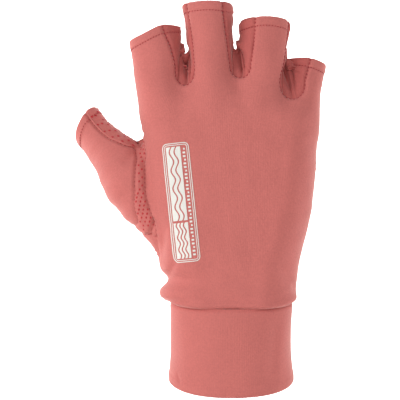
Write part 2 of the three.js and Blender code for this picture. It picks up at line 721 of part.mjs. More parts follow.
// Width of the strip round the root, as a share of each column's length. round: share of the way
// from the crotch over the back to the heel
const STRIP = [
  { round: 0.0, width: 0.15 },
  { round: 0.1, width: 0.11 },
  { round: 0.2, width: 0.13 },
  { round: 0.4, width: 0.155 },
  { round: 0.5, width: 0.155 },
  { round: 0.6, width: 0.19 },
  { round: 0.7, width: 0.20 },
  { round: 0.8, width: 0.17 },
  { round: 0.9, width: 0.10 },
  { round: 1.0, width: 0.10 },
];
const thumbRoot = [
  ...backHand.slice(THUMB_BASE.low, THUMB_BASE.high + 1).reverse().map(line => line[0]),
  ...palmHand[THUMB_BASE.low].slice(palmFlat, -1).reverse(),
  ...palmHand.slice(THUMB_BASE.low + 1, THUMB_BASE.high + 1).map(line => line[palmFlat]),
  ...palmHand[THUMB_BASE.high].slice(palmFlat + 1, -1),
];
const THUMB_COLUMNS = thumbRoot.length;
const stripWidth = curve(STRIP, 'round', 'width');

function thumbFrame(t) {
  // Centre, half width and directions at the share t of the thumb's path.
  const at = t * (thumbPath.length - 1);
  const i = Math.min(Math.floor(at), thumbPath.length - 2);
  const a = thumbPath[i];
  const b = thumbPath[i + 1];
  const along = unit([0, 1, 2].map(axis => b.at[axis] - a.at[axis]));
  const toCrotch = unit([-along[2], 0, along[0]].map(value => -value));
  const back = unit([
    along[1] * toCrotch[2] - along[2] * toCrotch[1],
    along[2] * toCrotch[0] - along[0] * toCrotch[2],
    along[0] * toCrotch[1] - along[1] * toCrotch[0],
  ]);
  const facing = back[1] > 0 ? back.map(value => -value) : back;
  return { centre: mixPoint(a.at, b.at, at - i), half: mix(a.half, b.half, at - i), along,
    toCrotch, back: facing };
}

function thumbEndPoint(column) {
  const { seam, heel } = THUMB_TURN;
  const t = column <= THUMB_BACK ? column / THUMB_BACK
    : 1 + (column - THUMB_BACK) / (THUMB_COLUMNS - THUMB_BACK);
  const turn = radians(mix(seam, heel, Math.min(t, 1)) + (360 + seam - heel) * Math.max(t - 1, 0));
  const frame = thumbFrame(THUMB_RIM);
  const direction = [0, 1, 2].map(axis => Math.cos(turn) * frame.toCrotch[axis]
    + Math.sin(turn) * frame.back[axis] + THUMB_SLANT * Math.cos(turn) * frame.along[axis]);
  return cast(frame.centre, direction);
}

function thumbColumn(column, shares) {
  const base = thumbRoot[column];
  const end = thumbEndPoint(column);
  const away = Math.min(column, THUMB_COLUMNS - column);
  const near = smooth(share(away, THUMB_CROTCH.columns, 0));
  return shares.map(t => {
    if (t === 0) return base;
    if (t === 1) return end;
    // Both sags are nothing at the ends and whole at their highest: the dip half way along, the
    // other at a third.
    const dip = THUMB_CROTCH.dip * near * 4 * t * (1 - t);
    const face = THUMB_CROTCH.face * near * 6.75 * t * (1 - t) ** 2;
    const [x, y, z] = mixPoint(base, end, t);
    return settle([x, y - face, z - dip]);
  });
}

function thumbGrid(first, last, low, high, rows) {
  // low and high: the shares of each column's length between which the grid runs.
  const columns = [];
  for (let column = first; column <= last; column += 1) {
    const shares = [];
    for (let j = 0; j <= rows; j += 1) shares.push(mix(low(column), high(column), j / rows));
    columns.push(thumbColumn(column % THUMB_COLUMNS, shares));
  }
  return columns;
}

const stripShare = column => {
  if (column <= THUMB_BACK) return stripWidth(column / THUMB_BACK);
  return mix(stripWidth(1), stripWidth(0), (column - THUMB_BACK) / (THUMB_COLUMNS - THUMB_BACK));
};
const thumbWall = p => {
  const end = thumbFrame(THUMB_RIM);
  const behind = [0, 1, 2].reduce((sum, axis) => sum + (end.centre[axis] - p[axis])
    * end.along[axis], 0);
  return behind < HEM_DEPTH ? HEM_WALL : WALL;
};

function thumbBackPanel() {
  return sheet([thumbGrid(0, THUMB_BACK, stripShare, () => 1, THUMB_ROWS)], thumbWall);
}

function thumbPalmPanel() {
  return sheet([
    thumbGrid(0, THUMB_COLUMNS, () => 0, stripShare, STRIP_ROWS),
    thumbGrid(THUMB_BACK, THUMB_COLUMNS, stripShare, () => 1, THUMB_ROWS),
  ], thumbWall);
}

// Cuff: a leaning tube with a folded edge. up: share of the cuff's length. width, depth: shares of
// the cuff's own. flare: share of the flare.
const CUFF = [
  { up: 0.00, width: 1.000, depth: 1.000, flare: 1.0 },
  { up: 0.08, width: 1.000, depth: 1.000, flare: 0.9 },
  { up: 0.18, width: 0.998, depth: 0.995, flare: 0.3 },
  { up: 0.35, width: 0.990, depth: 0.985, flare: 0.0 },
  { up: 0.65, width: 0.988, depth: 0.970, flare: 0.0 },
  { up: 0.88, width: 0.995, depth: 0.960, flare: 0.0 },
  { up: 1.00, width: 1.005, depth: 0.950, flare: 0.0 },
];
const CUFF_COLUMNS = 40;
const CUFF_POWER = 0.9;   // of the sine and cosine: 1 is an ellipse, less is squarer

function cuffPoint(turn, up, inset) {
  const at = column => curve(CUFF, 'up', column)(up);
  const flare = CUFF_FLARE * at('flare');
  const half = at('width') * CUFF_WIDTH / 2 + flare - inset;
  const radius = at('depth') * CUFF_DEPTH / 2 + flare - inset;
  const sin = Math.sin(turn);
  const cos = Math.cos(turn);
  const drop = mix(CUFF_DROP, WRIST_DROP, up);
  return [
    Math.sign(sin) * Math.abs(sin) ** CUFF_POWER * half,
    -Math.sign(cos) * Math.abs(cos) ** CUFF_POWER * radius - hand.middle(0) * CUFF_LEAN * up,
    up * (CUFF_LENGTH - SEAM_GAP) - drop * cos,
  ];
}

function cuff() {
  // The profile runs up the outside and down the inside, with a rounded fold at the mouth.
  const rows = CUFF.map(row => row.up);
  const profile = [
    ...rows.map(up => ({ up, inset: up === 0 ? CUFF_WALL * 0.25 : 0 })),
    ...rows.slice().reverse().map(up => ({ up, inset: up === 0 ? CUFF_WALL * 0.75 : CUFF_WALL })),
  ];
  const points = [];
  const index = [];
  for (let i = 0; i < CUFF_COLUMNS; i += 1) {
    const turn = 2 * Math.PI * i / CUFF_COLUMNS;
    for (const { up, inset } of profile) points.push(...cuffPoint(turn, up, inset));
  }
  const n = profile.length;
  for (let i = 0; i < CUFF_COLUMNS; i += 1) {
    const next = (i + 1) % CUFF_COLUMNS;
    for (let j = 0; j < n; j += 1) {
      const k = (j + 1) % n;
      index.push(i * n + j, next * n + j, next * n + k, i * n + j, next * n + k, i * n + k);
    }
  }
  const geometry = new THREE.BufferGeometry();
  geometry.setAttribute('position', new THREE.Float32BufferAttribute(points, 3));
  geometry.setIndex(index);
  return geometry;
}

// The print: a thin film that follows the back of the hand. middle: its centre as shares of the
// palm's breadth and the hand's length.
const PRINT_MIDDLE = { across: -0.278, up: 0.438 };
const PRINT_ROWS = 14;
const PRINT_COLUMNS = 4;

function transferPrint() {
  const lean = radians(PRINT_LEAN);
  const grid = [];
  for (let j = 0; j <= PRINT_ROWS; j += 1) {
    const line = [];
    for (let i = 0; i <= PRINT_COLUMNS; i += 1) {
      const a = (i / PRINT_COLUMNS - 0.5) * PRINT_WIDTH;
      const b = (j / PRINT_ROWS - 0.5) * PRINT_LENGTH;
      const x = PRINT_MIDDLE.across * PALM_BREADTH + a * Math.cos(lean) - b * Math.sin(lean);
      const z = WRIST_Z + PRINT_MIDDLE.up * HAND_LENGTH + b * Math.cos(lean) + a * Math.sin(lean);
      const p = cast([x, handSection(z).y, z], [0, -1, 0]);
      const g = gradient(p);
      const lift = SEAM_GAP + PRINT_FILM;
      line.push([0, 1, 2].map(axis => p[axis] + lift * g[axis]));
    }
    grid.push(line);
  }
  return sheet([grid], () => PRINT_FILM);
}

// The glove

const glove = new THREE.Group();

function piece(name, geometry, color, roughness) {
  const material = new THREE.MeshStandardMaterial({ color, roughness, metalness: 0 });
  const mesh = new THREE.Mesh(geometry, material);
  mesh.name = name;
  glove.add(mesh);
}

piece('back_panel', backPanel(), CORAL, 0.85);
piece('palm_panel', palmPanel(), CORAL, 0.85);
piece('thumb_back_panel', thumbBackPanel(), CORAL, 0.85);
piece('thumb_palm_panel', thumbPalmPanel(), CORAL, 0.85);
WEBS.forEach((web, k) => piece(web.name, fourchette(k), CORAL, 0.85));
piece('cuff', cuff(), CORAL, 0.85);
piece('transfer_print', transferPrint(), PRINT_WHITE, 0.6);

export default glove;
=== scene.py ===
# Fingerless fishing glove for the right hand, in the form that it has when worn.
# Every knit panel, gusset and hem follows one smooth outer form, a distance field of the hand
# in the glove. +Z runs to the fingertips, -Y is the back of the hand, -X is the thumb side.
import math
from functools import lru_cache

import bpy
import numpy as np
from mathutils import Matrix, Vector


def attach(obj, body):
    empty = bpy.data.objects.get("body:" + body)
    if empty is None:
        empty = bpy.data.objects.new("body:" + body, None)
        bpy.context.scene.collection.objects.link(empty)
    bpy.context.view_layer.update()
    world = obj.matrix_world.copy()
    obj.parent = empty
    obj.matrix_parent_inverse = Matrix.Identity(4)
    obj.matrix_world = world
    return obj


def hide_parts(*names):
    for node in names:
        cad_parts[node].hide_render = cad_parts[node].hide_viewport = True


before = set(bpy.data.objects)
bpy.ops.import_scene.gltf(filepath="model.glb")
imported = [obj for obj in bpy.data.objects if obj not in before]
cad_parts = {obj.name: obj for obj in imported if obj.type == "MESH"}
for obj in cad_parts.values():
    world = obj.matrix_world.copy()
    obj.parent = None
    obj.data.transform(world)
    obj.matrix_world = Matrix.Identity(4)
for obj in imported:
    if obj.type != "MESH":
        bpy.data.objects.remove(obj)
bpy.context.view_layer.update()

bl_info = {
    "name": "Fingerless Fishing Glove",
    "version": (1, 0, 0),
    "blender": (4, 5, 0),
    "location": "View3D > Sidebar > Glove",
    "description": "Makes a fingerless glove of stretch knit in its worn form",
    "category": "Add Mesh",
}

MM = 0.001

# Driving dimensions in millimetres
PALM_BREADTH = 90.0
PALM_DEPTH = 29.0
HAND_LENGTH = 112.0
CUFF_LENGTH = 40.5
CUFF_WIDTH = 61.5
CUFF_DEPTH = 43.0
CUFF_FLARE = 1.0
CUFF_DROP = 7.5
WRIST_DROP = 3.6
CUFF_LEAN = 12.0
FINGER_WIDTH = 24.0
FINGER_DEPTH = 19.0
FINGER_REACH = 40.0
THUMB_REACH = 62.0
THUMB_WIDTH = 19.0
WALL = 1.2
HEM_WALL = 2.0
HEM_DEPTH = 5.0
CUFF_WALL = 2.0
PRINT_LENGTH = 59.0
PRINT_WIDTH = 13.2
PRINT_LEAN = 6.0
WRIST_Z = CUFF_LENGTH
WEB_Z = WRIST_Z + HAND_LENGTH


def rows(names, *values):
    """A table of named columns: each value is one row."""
    return dict(zip(names.split(), np.array(values, float).T))


# Hand sections: shares of the hand's length, the palm's breadth and depth, and the cuff's lean
HAND = rows(
    "up thumb_side little_side depth middle arch",
    (-0.05, 0.345, 0.352, 1.30, 0.74, 0.00),
    (0.000, 0.352, 0.357, 1.32, 0.76, 0.00),
    (0.018, 0.392, 0.360, 1.35, 0.77, 0.01),
    (0.050, 0.396, 0.359, 1.35, 0.80, 0.02),
    (0.094, 0.352, 0.365, 1.32, 0.84, 0.03),
    (0.140, 0.393, 0.373, 1.32, 0.88, 0.04),
    (0.220, 0.405, 0.391, 1.30, 0.92, 0.06),
    (0.300, 0.425, 0.418, 1.28, 0.96, 0.08),
    (0.400, 0.455, 0.445, 1.22, 1.00, 0.10),
    (0.520, 0.480, 0.464, 1.14, 1.01, 0.11),
    (0.680, 0.490, 0.476, 1.04, 0.99, 0.12),
    (0.820, 0.492, 0.482, 0.98, 0.94, 0.13),
    (0.900, 0.500, 0.482, 0.92, 0.88, 0.14),
    (1.000, 0.505, 0.482, 0.84, 0.78, 0.14),
)

# The web between the fingers: its height half way through the hand, and its rise to the palm
WEB = rows(
    "across up slope",
    (-0.50, 1.020, 0.60),
    (-0.25, 1.027, 0.60),
    (0.05, 1.040, 0.60),
    (0.32, 0.940, 0.45),
    (0.50, 0.900, 0.40),
)

# Fingers from the thumb side on. rim: reach, slant and rise of the end. palm: angles of the
# palm strip's edges. Each section: reach above the web, centre, sizes, back strip's two angles
SECTION = "reach across back width depth from to"
FINGERS = (
    {
        "rim": (0.560, 0.110, 0.060), "palm": (126, 264), "rows": rows(
            SECTION,
            (-0.60, -0.385, -0.60, 0.80, 1.10, -96, 60),
            (-0.25, -0.398, -0.57, 0.92, 1.22, -96, 58),
            (-0.05, -0.406, -0.52, 0.98, 1.16, -96, 56),
            (0.15, -0.412, -0.44, 1.02, 1.08, -96, 52),
            (0.35, -0.420, -0.34, 1.06, 1.03, -96, 44),
            (0.60, -0.430, -0.18, 1.10, 1.00, -96, 26),
            (0.75, -0.438, -0.08, 1.12, 1.00, -96, 18),
        ),
    },
    {
        "rim": (0.915, 0.000, 0.040), "palm": (128, 232), "rows": rows(
            SECTION,
            (-0.60, -0.105, -0.60, 0.82, 1.10, -50, 60),
            (-0.25, -0.107, -0.60, 0.90, 1.28, -50, 62),
            (-0.05, -0.109, -0.57, 0.94, 1.20, -51, 63),
            (0.15, -0.113, -0.52, 0.94, 1.10, -53, 60),
            (0.35, -0.117, -0.45, 0.95, 1.05, -56, 54),
            (0.60, -0.123, -0.34, 0.99, 1.03, -60, 48),
            (0.95, -0.134, -0.16, 1.05, 1.03, -64, 42),
            (1.10, -0.138, -0.08, 1.06, 1.03, -66, 40),
        ),
    },
    {
        "rim": (0.690, 0.005, 0.075), "palm": (126, 232), "rows": rows(
            SECTION,
            (-0.60, 0.150, -0.60, 0.82, 1.10, -40, 62),
            (-0.25, 0.155, -0.58, 0.90, 1.20, -40, 60),
            (-0.05, 0.160, -0.54, 0.94, 1.12, -38, 62),
            (0.15, 0.167, -0.47, 1.00, 1.05, -33, 70),
            (0.35, 0.174, -0.37, 1.03, 1.00, -30, 76),
            (0.60, 0.184, -0.20, 1.04, 0.98, -30, 76),
            (0.85, 0.193, -0.04, 1.04, 0.98, -30, 72),
        ),
    },
    {
        "rim": (0.205, -0.050, 0.050), "palm": (116, 236), "rows": rows(
            SECTION,
            (-0.75, 0.372, -0.50, 0.70, 0.95, -10, 100),
            (-0.40, 0.384, -0.42, 0.76, 1.02, -8, 100),
            (-0.20, 0.395, -0.34, 0.77, 0.96, -4, 100),
            (0.00, 0.408, -0.22, 0.80, 0.91, 4, 102),
            (0.20, 0.424, -0.06, 0.83, 0.88, 9, 104),
            (0.35, 0.436, 0.06, 0.84, 0.88, 12, 106),
        ),
    },
)

# Webs: where the seams leave the fingers' sides and their lowest points, back and palm
WEBS = (
    {"name": "index_middle", "back": (0.10, -0.11), "palm": (0.35, 0.165)},
    {"name": "middle_ring", "back": (0.15, -0.02), "palm": (0.38, 0.22)},
    {"name": "ring_little", "back": (-0.05, -0.28), "palm": (0.10, -0.06)},
)
THUMB_SIDE_START = 0.06
LITTLE_SIDE_START = -0.14

# Thumb sections: centre and half width as shares of the thumb's reach and width
THUMB = rows(
    "out up back half",
    (-0.280, -0.460, -0.15, 0.46),
    (-0.120, -0.250, -0.15, 0.53),
    (-0.015, -0.105, -0.13, 0.66),
    (0.065, 0.047, -0.09, 0.79),
    (0.122, 0.137, -0.05, 0.74),
    (0.186, 0.239, 0.00, 0.67),
    (0.272, 0.326, 0.06, 0.59),
    (0.391, 0.447, 0.15, 0.50),
    (0.493, 0.573, 0.23, 0.49),
    (0.560, 0.660, 0.28, 0.48),
)
THUMB_ROOT = {"out": 0.505, "up": 0.50}
THUMB_RIM = 0.85
THUMB_SLANT = 0.45
THUMB_BASE = {"low": 5, "high": 13, "reach": 0.62}
THUMB_TURN = {"seam": 69.0, "heel": 188.0}
THUMB_CROTCH = {"dip": 10.0, "face": 5.0, "columns": 10.0}
THUMB_BACK = 10
THUMB_COLUMNS = 24
STRIP = rows(
    "round width", (0.0, 0.15), (0.1, 0.11), (0.2, 0.13), (0.4, 0.155), (0.5, 0.155),
    (0.6, 0.19), (0.7, 0.20), (0.8, 0.17), (0.9, 0.09), (1.0, 0.08))

# Angle of the back panel's thumb-side edge from the straight back direction
SIDE_SEAM = rows(
    "up angle",
    (0.00, 96), (0.20, 88), (0.25, 74), (0.30, 67), (0.35, 65), (0.42, 65.5),
    (0.50, 66), (0.57, 68), (0.64, 79), (0.71, 90), (0.78, 95), (1.00, 96),
)
LITTLE_SIDE_SEAM = 100.0

# Cuff from its mouth up: shares of the cuff's width, depth and flare
CUFF = rows(
    "up width depth flare",
    (0.00, 1.000, 1.000, 1.0),
    (0.08, 1.000, 1.000, 0.9),
    (0.18, 0.998, 0.995, 0.3),
    (0.35, 0.990, 0.985, 0.0),
    (0.65, 0.988, 0.970, 0.0),
    (0.88, 0.995, 0.960, 0.0),
    (1.00, 1.005, 0.950, 0.0),
)
PRINT_MIDDLE = {"across": -0.278, "up": 0.438}

# Creases and soft ridges, from one end to the other as seen from the back or the palm
CREASES = rows(
    "side x0 z0 x1 z1 depth width",
    (-1, -38.6, 81.5, -41.3, 71.0, 1.7, 0.9),
    (-1, -32.5, 52.0, -27.8, 61.5, 1.1, 1.5),
    (-1, -34.5, 50.5, -30.5, 58.5, -0.5, 1.6),
    (-1, -33.0, 79.0, -36.5, 60.0, 0.7, 2.6),
    (-1, -30.5, 76.0, -31.0, 62.0, -0.5, 2.6),
    (-1, 18.5, 144.0, 15.0, 120.0, 0.7, 7.5),
    (-1, 4.8, 149.0, 3.3, 136.0, 0.6, 4.5),
    (-1, -22.3, 146.0, -23.8, 133.0, 0.6, 4.5),
    (-1, -46.3, 116.0, -55.0, 109.0, 0.8, 2.4),
    (-1, 24.0, 60.0, 29.0, 48.0, 0.5, 3.0),
    (-1, 30.5, 50.0, 32.0, 43.5, 0.5, 1.2),
    (1, -20.0, 125.0, -6.0, 95.0, 0.8, 2.5),
    (1, -6.0, 95.0, -8.0, 66.0, 0.8, 2.5),
    (1, -25.0, 132.0, 20.0, 128.0, 0.6, 2.5),
    (1, -2.0, 122.0, 36.0, 134.0, 0.6, 2.5),
    (1, -20.0, 52.0, 15.0, 49.0, 0.5, 2.0),
)

# Seams: depth and width of the valley, share by which stitches pucker it, and their pitch
SEAMS = {
    "web": (0.60, 0.75, 0.35, 2.0),
    "side": (0.50, 0.80, 0.20, 2.4),
    "root": (0.55, 0.80, 0.25, 2.2),
    "leaf": (0.60, 0.80, 0.25, 2.2),
    "wrist": (1.90, 0.90, 0.12, 3.1),
}

# Relief of the cloth: the low ridge beside each seam, the puff above the wrist seam, the step and
# the groove where a hem ends, and how far the film's faces stand out
RIDGE = {"height": 0.12, "off": 1.9, "width": 0.9}
WRIST_PUFF = 1.5
HEM = {"step": 0.32, "groove": 0.30, "width": 0.45}
FILM = {"out": 0.16, "in": -0.05}

# How finely the surfaces are made: columns on a finger's strip and on a web, rows on the hand in
# so many levels to each step, and rows on the thumb
ACROSS = 30
ARC = 30
HAND_STEPS = 18
LEVELS = 8
HAND_ROWS = HAND_STEPS * LEVELS
THUMB_ROWS = (THUMB_BASE["low"] * LEVELS, THUMB_BASE["high"] * LEVELS)
FINGER_ROWS = (56, 56, 56, 36)
GUSSET_COLUMNS = 26
END_COLUMNS = 20
STRIP_ROWS = 12
LEAF_ROWS = 95

# Rounds of smoothing on the panel's thumb-side edge, the thumb and the gussets' normals
ROUNDS = {"edge": 90, "thumb": 12, "normals": 8}

# Rays: share of a panel's width on each round end, how far the gussets' origins lie below the
# web, and how steeply the rays to the palm seam rise
ROUND = 0.2
WEB_DROP = 9.0
PALM_RISE = 8.0

# The knit's loops: width of a wale and height of a course
WALE = 0.9
COURSE = 1.3

# Stitches: length, radius, how far they stand out, and lean
STITCHES = {
    "hem": (0.95, 0.27, 0.16, 0.3),
    "web": (1.30, 0.28, 0.20, 0.2),
    "thumb": (1.00, 0.16, 0.08, 0.0),
}

# Grip dots: distance between their lines and half of that along them, height, bare margin as a
# share of the diameter, smallest distance, and the closer dots of the thumb's strip
DOT_PITCH = 3.0
DOT_HEIGHT = 0.3
DOT_MARGIN = 0.62
DOT_CELL = 1.2
STRIP_DOTS = {"apart": 1.6, "pitch": 2.0, "squeeze": 0.75}


# Small mathematics on whole arrays

def mix(a, b, t):
    """The value at the share t of the way from a to b."""
    return a + (b - a) * t


def smooth(t):
    """Three squares less two cubes: from 0 to 1 with level ends."""
    return t * t * (3 - 2 * t)


def share(value, low, high):
    """How far a value is from low to high, kept between 0 and 1."""
    return np.clip((value - low) / (high - low), 0, 1)


def point(x, y, z):
    return np.stack(np.broadcast_arrays(x, y, z), axis=-1).astype(float)


def unit(v):
    return v / np.linalg.norm(v, axis=-1, keepdims=True)


def curve(table, key, column):
    """A smooth curve through a table's rows: cubic pieces with the mean slope of the neighbours."""
    x = table[key]
    y = table[column]
    place = np.arange(len(x))
    before = np.maximum(place - 1, 0)
    after = np.minimum(place + 1, len(x) - 1)
    slope = (y[after] - y[before]) / (x[after] - x[before])

    def value(at):
        t = np.clip(at, x[0], x[-1])
        i = np.clip(np.searchsorted(x, t) - 1, 0, len(x) - 2)
        h = x[i + 1] - x[i]
        s = (t - x[i]) / h
        return ((2 * s**3 - 3 * s**2 + 1) * y[i] + (s**3 - 2 * s**2 + s) * h * slope[i]
                + (3 * s**2 - 2 * s**3) * y[i + 1] + (s**3 - s**2) * h * slope[i + 1])

    return value


def joined(a, b, soft):
    """Smooth union of two distance fields: the smaller, less a bump where they are close."""
    h = np.maximum(soft - np.abs(a - b), 0) / soft
    return np.minimum(a, b) - h * h * soft / 4


def common(a, b, soft):
    """Smooth overlap of two distance fields: the larger, plus a bump where they are close."""
    return -joined(-a, -b, soft)


def running(line):
    """Length along a line at each of its points."""
    return np.concatenate([[0], np.cumsum(np.linalg.norm(np.diff(line, axis=0), axis=1))])


def along_line(line, length, at):
    """Points on a line at the given lengths."""
    return np.stack([np.interp(at, length, part) for part in line.T], axis=1)


def soften(line):
    """Moves each inner row of an array half way to the mean of the rows before and after it."""
    line[1:-1] = (line[:-2] + 2 * line[1:-1] + line[2:]) / 4


def nearest(points, line):
    """Distance from each point to a line of many short pieces, and how far along it that is."""
    length = running(line)
    flat = points.reshape(-1, 3)
    best = np.empty(len(flat), int)
    for start in range(0, len(flat), 8192):
        block = flat[start:start + 8192]
        square = (line**2).sum(1)[None] - 2 * block @ line.T
        best[start:start + 8192] = square.argmin(1)
    distance = np.linalg.norm(flat - line[best], axis=1)
    along = length[best]
    for first in (np.maximum(best - 1, 0), np.minimum(best, len(line) - 2)):
        piece = line[first + 1] - line[first]
        size = np.maximum((piece**2).sum(1), 1e-9)
        t = np.clip(((flat - line[first]) * piece).sum(1) / size, 0, 1)
        d = np.linalg.norm(flat - line[first] - t[:, None] * piece, axis=1)
        closer = d < distance
        distance = np.where(closer, d, distance)
        along = np.where(closer, mix(length[first], length[first + 1], t), along)
    return distance.reshape(points.shape[:-1]), along.reshape(points.shape[:-1])


# The outer form of the hand in the glove, as a distance field

HAND_AT = {name: curve(HAND, "up", name) for name in HAND if name != "up"}
web_up = curve(WEB, "across", "up")
web_slope = curve(WEB, "across", "slope")
side_seam = curve(SIDE_SEAM, "up", "angle")
strip_width = curve(STRIP, "round", "width")
FINGER_AT = [
    {name: curve(finger["rows"], "reach", name) for name in finger["rows"] if name != "reach"}
    for finger in FINGERS
]
THUMB_AT = point(
    -THUMB_ROOT["out"] * PALM_BREADTH - THUMB["out"] * THUMB_REACH,
    THUMB["back"] * THUMB_REACH,
    WRIST_Z + THUMB_ROOT["up"] * HAND_LENGTH + THUMB["up"] * THUMB_REACH,
)
THUMB_HALF = THUMB["half"] * THUMB_WIDTH


def hand_up(z):
    """Height as a share of the hand's length above the wrist seam."""
    return (z - WRIST_Z) / HAND_LENGTH


def reach_z(reach):
    """Height of a share of the fingers' reach above the web."""
    return WEB_Z + reach * FINGER_REACH


def hand_section(z):
    """Middle, half width, end radius and arch of the hand's rounded section at a height."""
    up = hand_up(z)
    left = -HAND_AT["thumb_side"](up) * PALM_BREADTH
    right = HAND_AT["little_side"](up) * PALM_BREADTH
    return {
        "x": (left + right) / 2,
        "y": -HAND_AT["middle"](up) * CUFF_LEAN,
        "half": (right - left) / 2,
        "radius": HAND_AT["depth"](up) * PALM_DEPTH / 2,
        "arch": HAND_AT["arch"](up) * PALM_DEPTH,
    }


def palm_field(p):
    """A flat tube with round sides, whose edges arch to the palm, cut off by the sloping web."""
    x, y, z = p[..., 0], p[..., 1], p[..., 2]
    s = hand_section(z)
    dx = x - s["x"]
    bend = s["arch"] * (dx / s["half"]) ** 2
    core = s["half"] - s["radius"]
    side = np.hypot(np.maximum(np.abs(dx) - core, 0), y - s["y"] - bend) - s["radius"]
    across = x / PALM_BREADTH
    top = z - WRIST_Z - web_up(across) * HAND_LENGTH - web_slope(across) * (y - s["y"])
    return common(side, top, 12)


def finger_section(k, z):
    """Middle, half width and half depth of a finger's oval, and the angles of its back strip."""
    reach = (z - WEB_Z) / FINGER_REACH
    at = FINGER_AT[k]
    return {
        "x": at["across"](reach) * PALM_BREADTH,
        "y": at["back"](reach) * FINGER_DEPTH,
        "half": at["width"](reach) * FINGER_WIDTH / 2,
        "radius": at["depth"](reach) * FINGER_DEPTH / 2,
        "from": at["from"](reach),
        "to": at["to"](reach),
    }


def finger_field(k, p):
    """An oval tube between the finger's first and last sections."""
    z = p[..., 2]
    s = finger_section(k, z)
    m = np.hypot((p[..., 0] - s["x"]) / s["half"], (p[..., 1] - s["y"]) / s["radius"])
    reach = FINGERS[k]["rows"]["reach"]
    ends = np.maximum(reach_z(reach[0]) - z, z - reach_z(reach[-1]))
    return common((m - 1) * np.minimum(s["half"], s["radius"]), ends, 4)


def thumb_field(p):
    """A chain of round cones along the thumb's path."""
    best = None
    for a, b, r0, r1 in zip(THUMB_AT[:-1], THUMB_AT[1:], THUMB_HALF[:-1], THUMB_HALF[1:]):
        t = np.clip(((p - a) @ (b - a)) / ((b - a) @ (b - a)), 0, 1)
        distance = np.linalg.norm(p - a - t[..., None] * (b - a), axis=-1) - mix(r0, r1, t)
        best = distance if best is None else np.minimum(best, distance)
    return best


def field(p):
    """The whole form: fingers, palm and thumb in smooth unions."""
    total = finger_field(0, p)
    for k in (1, 2, 3):
        total = joined(total, finger_field(k, p), 1.2)
    return joined(joined(total, palm_field(p), 5), thumb_field(p), 3.5)


def normals_at(p):
    """Direction in which the field grows, from differences along the three axes."""
    step = 0.02 * np.eye(3)
    return unit(np.stack([field(p + e) - field(p - e) for e in step], axis=-1))


def cast(start, direction):
    """The first place where each ray from inside leaves the form: long steps where it is deep
    inside, short ones near the outside, then halving."""
    start, direction = np.broadcast_arrays(start, direction)
    d = unit(direction)
    inside = np.zeros(start.shape[:-1])
    outside = np.full(start.shape[:-1], 0.25)
    found = np.zeros(start.shape[:-1], bool)
    for _ in range(400):
        value = field(start + outside[..., None] * d)
        found |= value >= 0
        if found.all():
            break
        inside = np.where(found, inside, outside)
        outside = np.where(found, outside, outside + np.clip(-0.4 * value, 0.2, 4))
    for _ in range(20):
        middle = (inside + outside) / 2
        deep = field(start + middle[..., None] * d) < 0
        inside = np.where(deep, middle, inside)
        outside = np.where(deep, outside, middle)
    return start + outside[..., None] * d


def settle(p, steps=10):
    """Moves points that lie near the outside onto it."""
    for _ in range(steps):
        p = p - 0.8 * field(p)[..., None] * normals_at(p)
    return p


# Rays and seams of the panels

def turned(angle):
    """A level direction, turned by degrees from the back of the hand to its little side."""
    return point(np.sin(np.radians(angle)), -np.cos(np.radians(angle)), 0 * angle)


def hand_ray(angle, across, z):
    """A level ray from the flat core of the hand's section, at a share of its half width."""
    s = hand_section(z)
    x = s["x"] + across * (s["half"] - s["radius"])
    return point(x, s["y"], z), turned(np.broadcast_to(angle, np.shape(x)).astype(float))


def finger_ray(k, angle, z):
    """A level ray from the middle of a finger's oval."""
    s = finger_section(k, z)
    x = s["x"] + 0 * angle
    return point(x, s["y"], z), turned(angle + 0 * x)


def side_row_z(row):
    """Height of one of the hand's steps on its thumb side."""
    side = unit(np.array([0, -math.cos(math.radians(SIDE_SEAM["angle"][0])), 1]))[1]
    return mix(WRIST_Z + WRIST_DROP * side, reach_z(THUMB_SIDE_START), row / HAND_STEPS)


def panel_ray(side, z, u):
    """Rays to one side of the hand. u runs over the panel's width: a fifth on each round end and
    straight rays between. On the palm, u from 1 to 2 goes round the thumb-side end."""
    left = side_seam(hand_up(z))
    if side == "back":
        first = mix(-left, 0, u / ROUND)
        last = mix(0, LITTLE_SIDE_SEAM, (u - 1 + ROUND) / ROUND)
        angle = np.where(u < ROUND, first, np.where(u > 1 - ROUND, last, 0))
        across = np.clip(mix(-1, 1, (u - ROUND) / (1 - 2 * ROUND)), -1, 1)
        return hand_ray(angle, across, z)
    bite = np.sin(np.pi * share(z, side_row_z(THUMB_BASE["low"]), side_row_z(THUMB_BASE["high"])))
    end = -1 + THUMB_BASE["reach"] * np.maximum(bite, 0) ** 0.7
    first = mix(LITTLE_SIDE_SEAM, 180, u / ROUND)
    last = mix(180, 360 - left, u - 1)
    angle = np.where(u < ROUND, first, np.where(u > 1, last, 180))
    middle = np.minimum(mix(1, end, (u - ROUND) / (1 - ROUND)), 1)
    return hand_ray(angle, np.where(u > 1, -1, middle), z)


def strip_edges(side, k, z):
    """Angles of a finger strip's two edges, in the order in which the panel's columns run."""
    s = finger_section(k, z)
    if side == "back":
        return s["from"], s["to"]
    first = s["to"] if k == 3 else FINGERS[k]["palm"][0] + 0 * s["to"]
    last = 360 + s["from"] if k == 0 else FINGERS[k]["palm"][1] + 0 * s["to"]
    return first, last


def start_height(side, k, t):
    """Height where the strip of finger k begins, at the share t of its width."""
    left = THUMB_SIDE_START if k == 0 else WEBS[k - 1][side][0]
    right = LITTLE_SIDE_START if k == 3 else WEBS[k][side][0]
    if side == "palm":
        left, right = right, left
    return mix(reach_z(left), reach_z(right), t)


